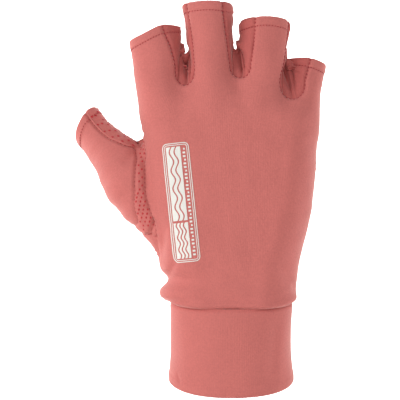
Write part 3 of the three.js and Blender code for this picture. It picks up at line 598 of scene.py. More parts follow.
def arc_rays(start, end, bottom, rise):
    """Rays to the round bottom of a web's seam: its height follows a sine between two points."""
    angle = np.pi * np.arange(1, ARC) / ARC
    t = (1 - np.cos(angle)) / 2
    z = mix(mix(start[2], end[2], t), bottom, np.sin(angle) ** 0.8)
    y = hand_section(z)["y"]
    origin = point(mix(start[0], end[0], t), y, z - rise)
    return origin, point(0 * y, start[1] - y, rise)


def web_arc(side, k):
    """Rays to the bottom of web k's seam, in the order of the panel's columns."""
    start, bottom = (reach_z(value) for value in WEBS[k][side])
    z = np.array(start)
    if side == "back":
        a = cast(*finger_ray(k, strip_edges("back", k, z)[1], z))
        b = cast(*finger_ray(k + 1, strip_edges("back", k + 1, z)[0], z))
        return arc_rays(a, b, bottom, 0)
    a = cast(*finger_ray(k + 1, np.array(float(FINGERS[k + 1]["palm"][1])), z))
    b = cast(*finger_ray(k, np.array(float(FINGERS[k]["palm"][0])), z))
    return arc_rays(a, b, bottom, PALM_RISE)


def finger_shares(k):
    """Shares of a strip's length, closer together at the finger's end, where the hem rolls over."""
    coarse = np.linspace(0, 0.93, FINGER_ROWS[k])
    fine = 1 - 0.07 * np.linspace(1, 0, 14) ** 1.6
    return np.concatenate([coarse, fine[1:]])


def rim_z(k, angle):
    """Height of a finger's end: a slant across and a rise towards the back of the hand."""
    reach, slant, rise = FINGERS[k]["rim"]
    turn = np.radians(angle)
    return reach_z(reach + slant * np.sin(turn) + rise * np.cos(turn))


def evened(grid, column, follow):
    """Evens out the panel's thumb-side edge, where rays graze the thumb. The other columns follow
    it by the given shares."""
    line = grid[:, column].copy()
    for _ in range(ROUNDS["edge"]):
        soften(line)
    line = settle(line, 8)
    moved = settle(grid + follow[:, None] * (line - grid[:, column])[:, None], 8)
    moved[:, column] = line
    return np.where(follow[:, None] > 0, moved, grid)


# Grids of the panels, each an array of rows by columns by 3

def finger_order(side):
    """The fingers in the order in which a panel's columns run."""
    return (0, 1, 2, 3) if side == "back" else (3, 2, 1, 0)


@lru_cache(maxsize=None)
def hand_grid(side):
    """The hand's back or palm, from the wrist seam to where the fingers and webs begin. Rays turn
    from the section's own directions at the wrist to those of the fingers at the top."""
    order = finger_order(side)
    origins = []
    ways = []
    for place, k in enumerate(order):
        t = np.linspace(0, 1, ACROSS + 1)
        z = start_height(side, k, t)
        first, last = strip_edges(side, k, z)
        rays = [finger_ray(k, mix(first, last, t), z)]
        if place < 3:
            rays.append(web_arc(side, min(k, order[place + 1])))
        origins += [ray[0] for ray in rays]
        ways += [ray[1] for ray in rays]
    origin = np.concatenate(origins)
    top = cast(origin, np.concatenate(ways))
    width = np.concatenate([[0], np.cumsum(np.hypot(*np.diff(top[:, :2], axis=0).T))])
    flat = len(top) - 1 - (END_COLUMNS if side == "palm" else 0)
    u = width / width[flat]
    if side == "palm":
        u = np.where(width > width[flat], 1 + (width - width[flat]) / (width[-1] - width[flat]), u)
    v = (np.arange(HAND_ROWS + 1) / HAND_ROWS)[:, None]
    turn = smooth(share(v, 0.6, 1))[..., None]
    wrist = WRIST_Z + WRIST_DROP * panel_ray(side, WRIST_Z + 0 * u, u)[1][:, 1]
    z = mix(wrist, top[:, 2], v)
    start, way = panel_ray(side, z, np.broadcast_to(u, z.shape))
    through = mix(cast(start, way), point(top[:, 0], top[:, 1], z), turn)
    leaning = mix(start, point(origin[:, 0], origin[:, 1], z), turn)
    straight = point(through[..., 0], leaning[..., 1], z)
    middle = smooth(share(np.abs(way[..., 1]), 0.35, 0.98))[..., None]
    begin = mix(leaning, straight, middle)
    grid = cast(begin, through - begin)
    if side == "back":
        grid = evened(grid, 0, smooth(share(u, ROUND, 0)))
    else:
        grid = evened(grid, -1, smooth(share(u, 1, 2)))
    grid[-1] = top
    return grid


@lru_cache(maxsize=None)
def finger_grid(side, k):
    """One finger's back or palm strip, from its start to the finger's end."""
    t = np.linspace(0, 1, ACROSS + 1)
    high = reach_z(FINGERS[k]["rows"]["reach"][-1])
    first, last = strip_edges(side, k, np.array(high))
    v = finger_shares(k)[:, None]
    z = mix(start_height(side, k, t), rim_z(k, mix(first, last, t)), v)
    a, b = strip_edges(side, k, z)
    return cast(*finger_ray(k, mix(a, b, t), z))


@lru_cache(maxsize=None)
def gusset_grid(k):
    """The strip down one finger's side, over the web and up the next finger's side. Across its
    width the rays swing from the back seam to the palm seam."""
    start, bottom = (reach_z(value) for value in WEBS[k]["back"])
    palm_start, palm_bottom = (reach_z(value) for value in WEBS[k]["palm"])

    def side(f, edge, palm_angle, facing):
        t = finger_shares(k) if f == k else finger_shares(k + 1)
        high = np.array(reach_z(FINGERS[f]["rows"]["reach"][-1]))
        z_back = mix(start, rim_z(f, strip_edges("back", f, high)[edge]), t)
        z_palm = mix(palm_start, rim_z(f, palm_angle), t)
        z = (z_back + z_palm) / 2
        s = finger_section(f, z)
        back = cast(*finger_ray(f, strip_edges("back", f, z_back)[edge], z_back))
        palm = cast(*finger_ray(f, palm_angle + 0 * z_palm, z_palm))
        return [point(s["x"], s["y"], z), back, palm, point(facing + 0 * z, 0, 0)]

    left = [part[::-1] for part in side(k, 1, FINGERS[k]["palm"][0], 1.0)]
    right = side(k + 1, 0, FINGERS[k + 1]["palm"][1], -1.0)
    t = (np.arange(1, ARC) / ARC)
    lift = np.sin(np.pi * t)
    origin = mix(left[0][-1], right[0][0], t[:, None]) - point(0, 0, WEB_DROP * lift)
    back = cast(*arc_rays(left[1][-1], right[1][0], bottom, 0))
    palm = cast(*arc_rays(right[2][0], left[2][-1], palm_bottom, PALM_RISE))[::-1]
    arc = [origin, back, palm, point(np.cos(np.pi * t), 0, 1.6 * lift)]
    origin, back, palm, out = (np.concatenate(parts) for parts in zip(left, arc, right))
    v = (np.arange(GUSSET_COLUMNS + 1) / GUSSET_COLUMNS)[None, :, None]
    way = ((1 - v) ** 2 * unit(back - origin)[:, None] + 2.4 * v * (1 - v) * out[:, None]
           + v**2 * unit(palm - origin)[:, None])
    grid = cast(origin[:, None], way)
    grid[:, 0] = back
    grid[:, -1] = palm
    return grid


@lru_cache(maxsize=None)
def thumb_loop():
    """The line round the thumb's root, and how far round each of its points is: from the crotch
    down the back, through the heel, up the palm and back."""
    low, high = THUMB_ROWS
    back, palm = hand_grid("back"), hand_grid("palm")
    flat = palm.shape[1] - 1 - END_COLUMNS
    line = [
        back[low:high + 1, 0][::-1],
        palm[low, flat:-1][::-1],
        palm[low + 1:high + 1, flat],
        palm[high, flat + 1:-1],
    ]
    steps = high - low
    turns = [
        np.linspace(0, 8, steps + 1),
        np.linspace(8, 12, END_COLUMNS + 1)[1:],
        np.linspace(12, 20, steps + 1)[1:],
        np.linspace(20, 24, END_COLUMNS + 1)[1:-1],
    ]
    return np.concatenate(line), np.concatenate(turns)


def leaf_column():
    """The column of the thumb's grid where its back ends and its palm side begins."""
    return int(np.searchsorted(thumb_loop()[1], THUMB_BACK))


def thumb_end(turns):
    """Points on the thumb's end: rays about its axis, slanting along it towards the crotch."""
    at = THUMB_RIM * (len(THUMB_AT) - 1)
    i = int(at)
    along = unit(THUMB_AT[i + 1] - THUMB_AT[i])
    crotch = unit(np.array([along[2], 0, -along[0]]))
    back = unit(np.cross(along, crotch))
    back = -back if back[1] > 0 else back
    centre = mix(THUMB_AT[i], THUMB_AT[i + 1], at - i)
    first = np.minimum(turns / THUMB_BACK, 1)
    rest = np.maximum((turns - THUMB_BACK) / (THUMB_COLUMNS - THUMB_BACK), 0)
    heel, seam = THUMB_TURN["heel"], THUMB_TURN["seam"]
    turn = np.radians(mix(seam, heel, first) + (360 + seam - heel) * rest)[:, None]
    return cast(centre, np.cos(turn) * crotch + np.sin(turn) * back
                + THUMB_SLANT * np.cos(turn) * along)


def strip_share(turns):
    """Share of the way to the thumb's end that the strip takes, round the thumb and back."""
    first = strip_width(np.minimum(turns / THUMB_BACK, 1))
    rest = mix(strip_width(1.0), strip_width(0.0),
               (turns - THUMB_BACK) / (THUMB_COLUMNS - THUMB_BACK))
    return np.where(turns <= THUMB_BACK, first, rest)


@lru_cache(maxsize=None)
def thumb_grid():
    """The thumb's strip and then its leaf, columns by rows: straight lines from root to end that
    dip into the crotch, settled onto the outside."""
    base, turns = thumb_loop()
    end = thumb_end(turns)
    away = np.minimum(turns, THUMB_COLUMNS - turns)
    near = smooth(share(away, THUMB_CROTCH["columns"], 0))[:, None]
    strip = strip_share(turns)[:, None]
    leaf = 1 - (1 - np.linspace(0, 1, LEAF_ROWS + 1)) ** 1.25
    t = np.concatenate(
        [strip * np.linspace(0, 1, STRIP_ROWS + 1), mix(strip, 1, leaf[1:])], axis=1)
    line = mix(base[:, None], end[:, None], t[..., None])
    # Two bends whose highest value is 1, a third of the way and half way along the line
    early = 27 / 4 * t * (1 - t) ** 2
    even = 4 * t * (1 - t)
    line[..., 1] -= early * THUMB_CROTCH["face"] * near
    line[..., 2] -= even * THUMB_CROTCH["dip"] * near
    grid = settle(line)
    for _ in range(ROUNDS["thumb"]):
        inner = (grid[:, :-2] + grid[:, 2:] + np.roll(grid, 1, 0)[:, 1:-1]
                 + np.roll(grid, -1, 0)[:, 1:-1]) / 4
        grid[:, 1:-1] = mix(grid[:, 1:-1], inner, 0.5)
    grid = settle(grid, 6)
    grid[:, 0] = base
    grid[:, -1] = end
    return grid


# Seam lines and finger ends, for the relief of the cloth and for the stitches

@lru_cache(maxsize=None)
def seam_lines():
    """Each kind of seam with its lines."""
    back, palm = hand_grid("back"), hand_grid("palm")
    loop, _ = thumb_loop()
    thumb = thumb_grid()
    low, high = THUMB_ROWS
    end = leaf_column()
    gussets = [gusset_grid(k) for k in range(3)]
    little = np.concatenate([back[:, -1], finger_grid("back", 3)[:, -1]])
    upper = np.concatenate([back[high:, 0], finger_grid("back", 0)[:, 0]])
    return {
        "web": [g[:, 0] for g in gussets] + [g[:, -1] for g in gussets],
        "side": [little, back[:low + 1, 0], upper],
        "root": [np.concatenate([loop, loop[:1]])],
        "leaf": [thumb[:end + 1, STRIP_ROWS], thumb[0, STRIP_ROWS:], thumb[end, STRIP_ROWS:]],
        "wrist": [np.concatenate([back[0], palm[0]])],
    }


@lru_cache(maxsize=None)
def rim_lines():
    """The closed line round each finger's end and the thumb's end."""
    turn = np.linspace(0, 360, 181)
    lines = [cast(*finger_ray(k, turn, rim_z(k, turn))) for k in range(4)]
    end = thumb_grid()[:, -1]
    return lines + [np.concatenate([end, end[:1]])]


def rim_distance(p):
    """Distance to the nearest end of a finger or the thumb."""
    return np.min([nearest(p, line)[0] for line in rim_lines()], axis=0)


def valley(x, z, ends, width, full):
    """A bell section along a short line, which fades at both ends and is full from the share full
    of its length on."""
    x0, z0, x1, z1 = ends
    dx, dz = x1 - x0, z1 - z0
    t = ((x - x0) * dx + (z - z0) * dz) / (dx * dx + dz * dz)
    on = np.clip(t, 0, 1)
    d = np.hypot(x - x0 - on * dx, z - z0 - on * dz)
    fade = smooth(share(t, -0.1, full)) * smooth(share(t, 1.1, 1 - full))
    return fade * np.exp(-((d / width) ** 2))


def crease_height(p, n):
    """The valleys and ridges of the creases on the side that they are seen from."""
    height = np.zeros(p.shape[:-1])
    for side, *ends, depth, width in zip(*CREASES.values()):
        facing = smooth(share(side * n[..., 1], 0.05, 0.5))
        height -= depth * facing * valley(p[..., 0], p[..., 2], ends, width, 0.25)
    return height


def undulation(p):
    """Slow, shallow waves of cloth that is stretched over soft forms."""
    x, y, z = p[..., 0], p[..., 1], p[..., 2]
    return (0.16 * np.sin(0.23 * x + 0.11 * z + 0.7) * np.sin(0.19 * z - 0.07 * x + 1.9)
            + 0.09 * np.sin(0.41 * x - 0.27 * z + 0.2 * y + 2.2) * np.sin(0.35 * z + 0.17 * x))


def wrist_level(p):
    """Height above the wrist seam, which drops at the back of the hand."""
    s = hand_section(p[..., 2])
    dx, dy = p[..., 0] - s["x"], p[..., 1] - s["y"]
    return p[..., 2] - WRIST_Z - WRIST_DROP * dy / np.maximum(np.hypot(dx, dy), 1e-6)


def relief(p, n):
    """How far the cloth stands out from the form: waves, creases, seams and turned-in hems."""
    height = undulation(p) + crease_height(p, n)
    for kind, lines in seam_lines().items():
        depth, width, pucker, pitch = SEAMS[kind]
        for line in lines:
            low, high = line.min(0) - 4, line.max(0) + 4
            near = ((p > low) & (p < high)).all(-1)
            if not near.any():
                continue
            d, along = nearest(p[near], line)
            tight = 1 + pucker * np.cos(2 * np.pi * along / pitch)
            height[near] -= depth * tight * np.exp(-((d / width) ** 2))
            ridge = (d - RIDGE["off"]) / RIDGE["width"]
            height[near] += RIDGE["height"] * np.exp(-(ridge ** 2))
    level = wrist_level(p)
    height += WRIST_PUFF * smooth(share(level, 6.0, 1.0)) * smooth(share(-n[..., 1], -0.2, 0.8))
    d = rim_distance(p)
    height += HEM["step"] * smooth(share(d, HEM_DEPTH + 0.5, HEM_DEPTH - 0.5))
    height -= HEM["groove"] * np.exp(-(((d - HEM_DEPTH) / HEM["width"]) ** 2))
    return height, d


def rounded(d, wall):
    """Share of a wall's thickness that is left at a distance from its rolled end: a half circle."""
    r = wall / 2
    return np.sqrt(np.clip(1 - (1 - np.clip(d / r, 0, 1)) ** 2, 0.02, 1))


# Meshes

def make_mesh(name, vertices, faces, uv=None):
    """A mesh from points in millimetres and arrays of faces with 3 or 4 corners."""
    mesh = bpy.data.meshes.new(name)
    corners = np.concatenate([f.ravel() for f in faces]).astype(np.int32)
    sizes = np.concatenate([np.full(len(f), f.shape[1]) for f in faces]).astype(np.int32)
    mesh.vertices.add(len(vertices))
    mesh.vertices.foreach_set("co", (np.asarray(vertices) * MM).astype(np.float32).ravel())
    mesh.loops.add(len(corners))
    mesh.loops.foreach_set("vertex_index", corners)
    mesh.polygons.add(len(sizes))
    starts = np.concatenate([[0], np.cumsum(sizes)[:-1]]).astype(np.int32)
    mesh.polygons.foreach_set("loop_start", starts)
    mesh.update(calc_edges=True)
    if uv is not None:
        layer = mesh.uv_layers.new(name="cloth")
        layer.data.foreach_set("uv", uv[corners].astype(np.float32).ravel())
    mesh.validate()
    mesh.shade_smooth()
    mesh.set_sharp_from_angle(angle=math.radians(60))
    piece = bpy.data.objects.new(name, mesh)
    bpy.context.scene.collection.objects.link(piece)
    return piece


def cells(ids):
    """Faces with four corners between the neighbours in a grid of vertex numbers."""
    corners = (ids[:-1, :-1], ids[:-1, 1:], ids[1:, 1:], ids[1:, :-1])
    return np.stack([c.ravel() for c in corners], axis=1)


def quads_of(grid, first=0):
    """Faces of a grid of points whose first vertex has the given number."""
    return cells(first + np.arange(grid.shape[0] * grid.shape[1]).reshape(grid.shape[:2]))


def closed(ids):
    """A grid whose first column follows its last one again."""
    return np.concatenate([ids, ids[:, :1]], axis=1)


def lengths_of(grid, axis):
    """Running length along the rows or columns of a grid."""
    step = np.linalg.norm(np.diff(grid, axis=axis), axis=-1)
    pad = [(1, 0), (0, 0)] if axis == 0 else [(0, 0), (1, 0)]
    return np.cumsum(np.pad(step, pad), axis=axis)


def cloth_uv(grid, u_start=0.0, middle=None):
    """The cloth's own coordinates in millimetres: u across from the middle column, v along."""
    middle = grid.shape[1] // 2 if middle is None else middle
    across = lengths_of(grid, 1)
    u = across - across[:, middle:middle + 1] + u_start
    return np.stack([u, lengths_of(grid, 0)], axis=-1)


def grid_normals(grid, like):
    """Smoothed normals of a grid of points, on the same side as the given directions."""
    n = unit(np.cross(np.gradient(grid, axis=0), np.gradient(grid, axis=1)) + 1e-9)
    for _ in range(ROUNDS["normals"]):
        soften(n)
        soften(n.transpose(1, 0, 2))
    n = unit(n)
    return n * np.sign((n * like).sum(axis=(0, 1, 2)))


def wall_mesh(name, patches, heights, normals=None):
    """A closed wall from grids of points on the form. heights takes the points, their normals and
    each patch's own extra height, and returns how far the outer and inner faces stand out."""
    faces = []
    count = 0
    for points, _, _ in patches:
        quads = quads_of(points, count)
        a, b, c, d = (points.reshape(-1, 3)[quads[:, i] - count] for i in range(4))
        if normals is None:
            out = normals_at(((a + c) / 2)[::7])
        else:
            out = normals.reshape(-1, 3)[quads[:, 0] - count][::7]
        if (np.cross(c - a, d - b)[::7] * out).sum() < 0:
            quads = quads[:, ::-1]
        faces.append(quads)
        count += points.shape[0] * points.shape[1]
    everything = np.concatenate([points.reshape(-1, 3) for points, _, _ in patches])
    uv = np.concatenate([uv.reshape(-1, 2) for _, uv, _ in patches])
    extra = np.concatenate([np.broadcast_to(e, p.shape[:2]).ravel() for p, _, e in patches])
    _, first, same = np.unique(
        np.round(everything * 1000).astype(np.int64), axis=0, return_index=True,
        return_inverse=True)
    base, uv, extra = everything[first], uv[first], extra[first]
    quads = same.ravel()[np.concatenate(faces)]
    n = normals_at(base) if normals is None else normals.reshape(-1, 3)[first]
    outer, inner = heights(base, n, extra)
    size = len(base)
    a = quads.ravel()
    b = np.roll(quads, -1, axis=1).ravel()
    edge = ~np.isin(a * size + b, b * size + a)
    a, b = a[edge], b[edge]
    rim = np.stack([b, a, a + size, b + size], axis=1)
    points = np.concatenate([base + outer[:, None] * n, base + inner[:, None] * n])
    return make_mesh(
        name, points, [quads, quads[:, ::-1] + size, rim], np.concatenate([uv, uv]))


def cloth_heights(p, n, extra):
    """Outer and inner faces of the knit: relief outside, one wall thickness between them, and a
    half circle at each end."""
    height, d = relief(p, n)
    wall = mix(HEM_WALL, WALL, smooth(share(d, HEM_DEPTH - 0.5, HEM_DEPTH + 0.5)))
    left = rounded(d, wall)
    outer = height + extra - wall / 2 * (1 - left)
    return outer, outer - wall * left


# Materials

def linear(colour):
    """sRGB hex to linear colour."""
    value = np.array([int(colour[i:i + 2], 16) for i in (1, 3, 5)]) / 255
    rgb = np.where(value <= 0.04045, value / 12.92, ((value + 0.055) / 1.055) ** 2.4)
    return (*rgb.tolist(), 1.0)


def add_node(tree, kind, inputs=None, **settings):
    """Adds a node with its settings. Each input is a value, another node's output, or a node, for
    its first output."""
    node = tree.nodes.new(kind)
    for key, value in settings.items():
        setattr(node, key, value)
    for key, value in (inputs or {}).items():
        if isinstance(value, bpy.types.Node):
            value = value.outputs[0]
        if isinstance(value, bpy.types.NodeSocket):
            tree.links.new(value, node.inputs[key])
        else:
            node.inputs[key].default_value = value
    return node


def new_material(name, **values):
    """A material with one Principled shader whose own sockets take the given values."""
    material = bpy.data.materials.new(name)
    material.use_nodes = True
    tree = material.node_tree
    shader = tree.nodes["Principled BSDF"]
    for key, value in values.items():
        shader.inputs[key.replace("_", " ")].default_value = value
    return material, tree, shader


def grain(size):
    """Scale of a noise on Object coordinates whose cells have a size in millimetres."""
    return 1 / (size * MM)


def shaded(colour, amount):
    """A linear colour times an amount."""
    return tuple(min(c * amount, 1) for c in colour[:3]) + (1.0,)


def clouded(tree, shader, colour, size, dark):
    """Gives the shader a colour that clouds of a size in millimetres darken down to a share of it.
    Returns the place on the piece, for other patterns."""
    place = add_node(tree, "ShaderNodeTexCoord").outputs["Object"]
    cloud = add_node(tree, "ShaderNodeTexNoise", {"Vector": place, "Scale": grain(size)})
    base = linear(colour)
    tint = add_node(
        tree, "ShaderNodeMix", {0: cloud, 6: shaded(base, dark), 7: base}, data_type="RGBA")
    tree.links.new(tint.outputs[2], shader.inputs["Base Color"])
    return place


def stretch_knit(name, colour):
    """Warp-stretched jersey of polyester and elastane: rows of fine loops that show as faint
    upright wales, matt with a soft light bloom where it turns away. The real loops are about
    0.5 mm apart, drawn at 0.9 mm so that they show."""
    material, tree, shader = new_material(
        name, Roughness=0.82, Sheen_Weight=0.42, Sheen_Roughness=0.4, Specular_IOR_Level=0.2)
    shader.inputs["Sheen Tint"].default_value = linear("#ffe0da")
    uv = add_node(tree, "ShaderNodeUVMap", uv_map="cloth")
    parts = add_node(tree, "ShaderNodeSeparateXYZ", {0: uv})
    u, v = parts.outputs[0], parts.outputs[1]
    kind = "ShaderNodeMath"
    # Wales: upright ribs, the absolute sine of the way across
    phase = add_node(tree, kind, {0: u, 1: math.pi / WALE}, operation="MULTIPLY")
    sine = add_node(tree, kind, {0: phase}, operation="SINE")
    wales = add_node(tree, kind, {0: sine}, operation="ABSOLUTE")
    # Courses: a sine of the way along, which slants up and down with each wale
    zigzag = add_node(tree, kind, {0: u, 1: WALE / 2}, operation="PINGPONG")
    slanted = add_node(tree, kind, {0: zigzag, 1: 1.1, 2: v}, operation="MULTIPLY_ADD")
    turn = add_node(tree, kind, {0: slanted, 1: 2 * math.pi / COURSE}, operation="MULTIPLY")
    courses = add_node(tree, kind, {0: turn}, operation="SINE")
    loops = add_node(tree, kind, {0: courses, 1: 0.16, 2: wales}, operation="MULTIPLY_ADD")
    # Height: loops at half their size under a fuzz of short fibres
    place = add_node(tree, "ShaderNodeTexCoord").outputs["Object"]
    fuzz = add_node(
        tree, "ShaderNodeTexNoise", {"Vector": place, "Scale": grain(0.909), "Detail": 3.0})
    half = add_node(tree, kind, {0: loops, 1: 0.5}, operation="MULTIPLY")
    height = add_node(tree, kind, {0: fuzz, 1: 1.6, 2: half}, operation="MULTIPLY_ADD")
    bump = add_node(
        tree, "ShaderNodeBump", {"Height": height, "Strength": 0.35, "Distance": 0.22 * MM})
    tree.links.new(bump.outputs[0], shader.inputs["Normal"])
    # Colour: lighter on the loops and darker in the valleys between them as painted shade, lighter on
    # random tufts, in soft patches of wear
    base = linear(colour)
    tuft = add_node(tree, kind, {0: fuzz, 1: 1.5, 2: -0.35}, operation="MULTIPLY_ADD")
    light = add_node(tree, kind, {0: loops, 1: 0.2, 2: tuft}, operation="MULTIPLY_ADD")
    thread = add_node(tree, "ShaderNodeMix", {0: light, 6: shaded(base, 0.86), 7: shaded(base, 1.05)},
                      data_type="RGBA")
    patch = add_node(
        tree, "ShaderNodeTexNoise", {"Vector": place, "Scale": grain(26.3), "Detail": 3.0})
    shade = add_node(tree, kind, {0: patch, 1: 0.14, 2: 0.93}, operation="MULTIPLY_ADD")
    mottled = add_node(tree, "ShaderNodeVectorMath", {0: thread.outputs[2], "Scale": shade},
                       operation="SCALE")
    tree.links.new(mottled.outputs[0], shader.inputs["Base Color"])
    return material


def sewing_thread(name, colour):
    """Polyester sewing thread: two twisted strands, smoother than the knit, darker between the
    strands at 0.4 mm as painted shade."""
    material, tree, shader = new_material(name, Roughness=0.6, Sheen_Weight=0.2)
    clouded(tree, shader, colour, 0.4, 0.75)
    return material


def silicone(name, colour):
    """Screen-printed silicone rubber: raised drops with a soft gloss."""
    material, tree, shader = new_material(name, Roughness=0.42, IOR=1.43)
    clouded(tree, shader, colour, 6.25, 0.8)
    return material


def transfer_film(name, colour):
    """Heat-pressed polyurethane film: matt, with the knit's wales showing through faintly."""
    material, tree, shader = new_material(name, Roughness=0.5, IOR=1.5)
    place = clouded(tree, shader, colour, 11.1, 0.93)
    fibres = add_node(
        tree, "ShaderNodeTexNoise", {"Vector": place, "Scale": grain(1.43), "Detail": 3.0})
    bump = add_node(tree, "ShaderNodeBump",
                    {"Height": fibres, "Strength": 0.25, "Distance": 0.1 * MM})
    tree.links.new(bump.outputs[0], shader.inputs["Normal"])
    return material


def studio_paper(name, colour):
    """Matt background paper with a faint fibre."""
    material, tree, shader = new_material(name, Roughness=1.0, Specular_IOR_Level=0.0)
    clouded(tree, shader, colour, 3.33, 0.985)
    return material


def material_of(name, maker, *arguments):
    return bpy.data.materials.get(name) or maker(name, *arguments)


def finish_piece(piece, material, slot, *nodes):
    piece.data.materials.clear()
    piece.data.materials.append(material)
    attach(piece, "root")
    if nodes:
        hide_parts(*nodes)


# Pieces

def panel_patches(side):
    """A panel's hand grid and finger strips with the cloth's coordinates."""
    hand = hand_grid(side)
    uv = cloth_uv(hand)
    patches = [(hand, uv, 0.0)]
    for place, k in enumerate(finger_order(side)):
        column = place * (ACROSS + ARC)
        strip = finger_grid(side, k)
        centre = column + ACROSS // 2
        strip_uv = cloth_uv(strip, uv[-1, centre, 0], ACROSS // 2)
        strip_uv[..., 1] += uv[-1, column:column + ACROSS + 1, 1]
        patches.append((strip, strip_uv, 0.0))
    return patches


def back_panel():
    return wall_mesh("back_panel_knit", panel_patches("back"), cloth_heights)


def palm_patches():
    """The palm's patches, with the thumb's root left open."""
    hand, uv, _ = panel_patches("palm")[0]
    low, high = THUMB_ROWS
    flat = hand.shape[1] - 1 - END_COLUMNS
    return [
        (hand[:, :flat + 1], uv[:, :flat + 1], 0.0),
        (hand[:low + 1, flat:], uv[:low + 1, flat:], 0.0),
        (hand[high:, flat:], uv[high:, flat:], 0.0),
        *panel_patches("palm")[1:],
    ]


def palm_panel():
    return wall_mesh("palm_panel_knit", palm_patches(), cloth_heights)


def thumb_patches(part):
    """part: the leaf on the thumb's back, or its palm side with the strip round the root."""
    end = leaf_column()
    tube = np.concatenate([thumb_grid(), thumb_grid()[:1]])
    uv = cloth_uv(tube.transpose(1, 0, 2), middle=end).transpose(1, 0, 2)
    if part == "back":
        return [(tube[:end + 1, STRIP_ROWS:], uv[:end + 1, STRIP_ROWS:], 0.0)]
    return [
        (tube[:, :STRIP_ROWS + 1], uv[:, :STRIP_ROWS + 1], 0.0),
        (tube[end:, STRIP_ROWS:], uv[end:, STRIP_ROWS:], 0.0),
    ]


def thumb_panel(part):
    name = "thumb_back_knit" if part == "back" else "thumb_palm_knit"
    return wall_mesh(name, thumb_patches(part), cloth_heights)


# Pleats of each gusset: place across the web, lean, depth and half width, as shares of the
# web's length and millimetres
PLEATS = rows(
    "web place lean depth width",
    (0, 0.12, 0.04, 2.0, 0.12),
    (0, 0.52, -0.05, 2.8, 0.14),
    (0, 0.90, 0.03, 1.8, 0.11),
    (1, 0.14, 0.04, 2.0, 0.12),
    (1, 0.48, -0.05, 2.8, 0.14),
    (1, 0.86, 0.04, 1.8, 0.11),
    (2, 0.10, 0.05, 2.2, 0.13),
    (2, 0.42, -0.05, 2.4, 0.13),
    (2, 0.78, 0.03, 1.6, 0.11),
)


def gusset_pleats(k):
    """Pleats are sharp valleys from the back seam to the palm seam where the web's cloth is
    gathered. They come together at the back seam's lowest point, and fade up the fingers' sides."""
    grid = gusset_grid(k)
    left = len(finger_shares(k)) - 1
    station = np.arange(grid.shape[0])
    across = (station - left) / ARC
    v = np.linspace(0, 1, grid.shape[1])[None]
    spread = mix(0.45, 1.0, share(v, 0.0, 0.35))
    height = np.zeros(grid.shape[:2])
    for web, place, lean, depth, width in zip(*PLEATS.values()):
        if web != k:
            continue
        d = np.abs(across[:, None] - 0.5 - (place - 0.5) * spread - lean * (v - 0.5) * 2)
        height -= depth * np.clip(1 - d / (width * spread), 0, 1) ** 1.3
    beyond = np.maximum(np.abs(across - 0.5) - 0.5, 0)[:, None]
    from_rim = np.minimum(station, station[::-1])[:, None]
    side = 0.3 * np.cos(2 * np.pi * (1.6 * v + 0.1)) * np.exp(-((beyond - 0.5) / 0.6) ** 2)
    side = side + 0.35 * np.sin(4.2 * across[:, None] + 2.0 * v + k) * share(beyond, 0, 0.5)
    side = side * smooth(share(from_rim, 2, 16))
    fade = share(v, 0, 0.06) * smooth(share(v, 0.5, 0.2))
    return height * np.exp(-((beyond / 0.6) ** 2)) * fade + side * np.sin(np.pi * v) ** 0.6


# How far each web's gathered cloth stands up between the fingers, and lies back behind its seam
GATHER = {"lift": (6.5, 6.5, 9.0), "sink": (4.2, 3.8, 4.2)}


def gathered(k):
    """The gusset's grid with its cloth bunched: lifted in the middle of the web and sunk just
    behind the back seam, both fading up the fingers' sides and at the seams."""
    grid = gusset_grid(k).copy()
    station = (np.arange(grid.shape[0]) - len(finger_shares(k)) + 1) / ARC
    beyond = np.maximum(np.abs(station - 0.5) - 0.35, 0)[:, None]
    v = np.linspace(0, 1, grid.shape[1])[None]
    middle = np.exp(-((beyond / 0.45) ** 2))
    grid[..., 2] += GATHER["lift"][k] * middle * np.sin(np.pi * v ** 0.8) ** 1.2
    grid[..., 1] += (GATHER["sink"][k] * middle * np.exp(-(((v - 0.24) / 0.17) ** 2))
                     * share(v, 0, 0.1))
    return grid


def gusset(k):
    """One gusset's wall: its gathered grid with the pleats as extra height."""
    grid = gathered(k)
    patches = [(grid, cloth_uv(grid), gusset_pleats(k))]
    normals = grid_normals(grid, normals_at(gusset_grid(k)))
    return wall_mesh("gusset_" + WEBS[k]["name"] + "_knit", patches, cloth_heights, normals)


def cuff_point(turn, up, inset):
    """A leaning tube of rounded section: sine and cosine to the power 0.9, whose mouth and top
    edges drop at the back of the hand."""
    width, depth, flare = (curve(CUFF, "up", name)(up) for name in ("width", "depth", "flare"))
    half = width * CUFF_WIDTH / 2 + CUFF_FLARE * flare - inset
    radius = depth * CUFF_DEPTH / 2 + CUFF_FLARE * flare - inset
    sin, cos = np.sin(turn), np.cos(turn)
    drop = mix(CUFF_DROP, WRIST_DROP, up)
    lean = HAND_AT["middle"](0.0) * CUFF_LEAN * up
    return point(
        np.sign(sin) * np.abs(sin) ** 0.9 * half,
        -np.sign(cos) * np.abs(cos) ** 0.9 * radius - lean,
        up * CUFF_LENGTH - drop * cos,
    )


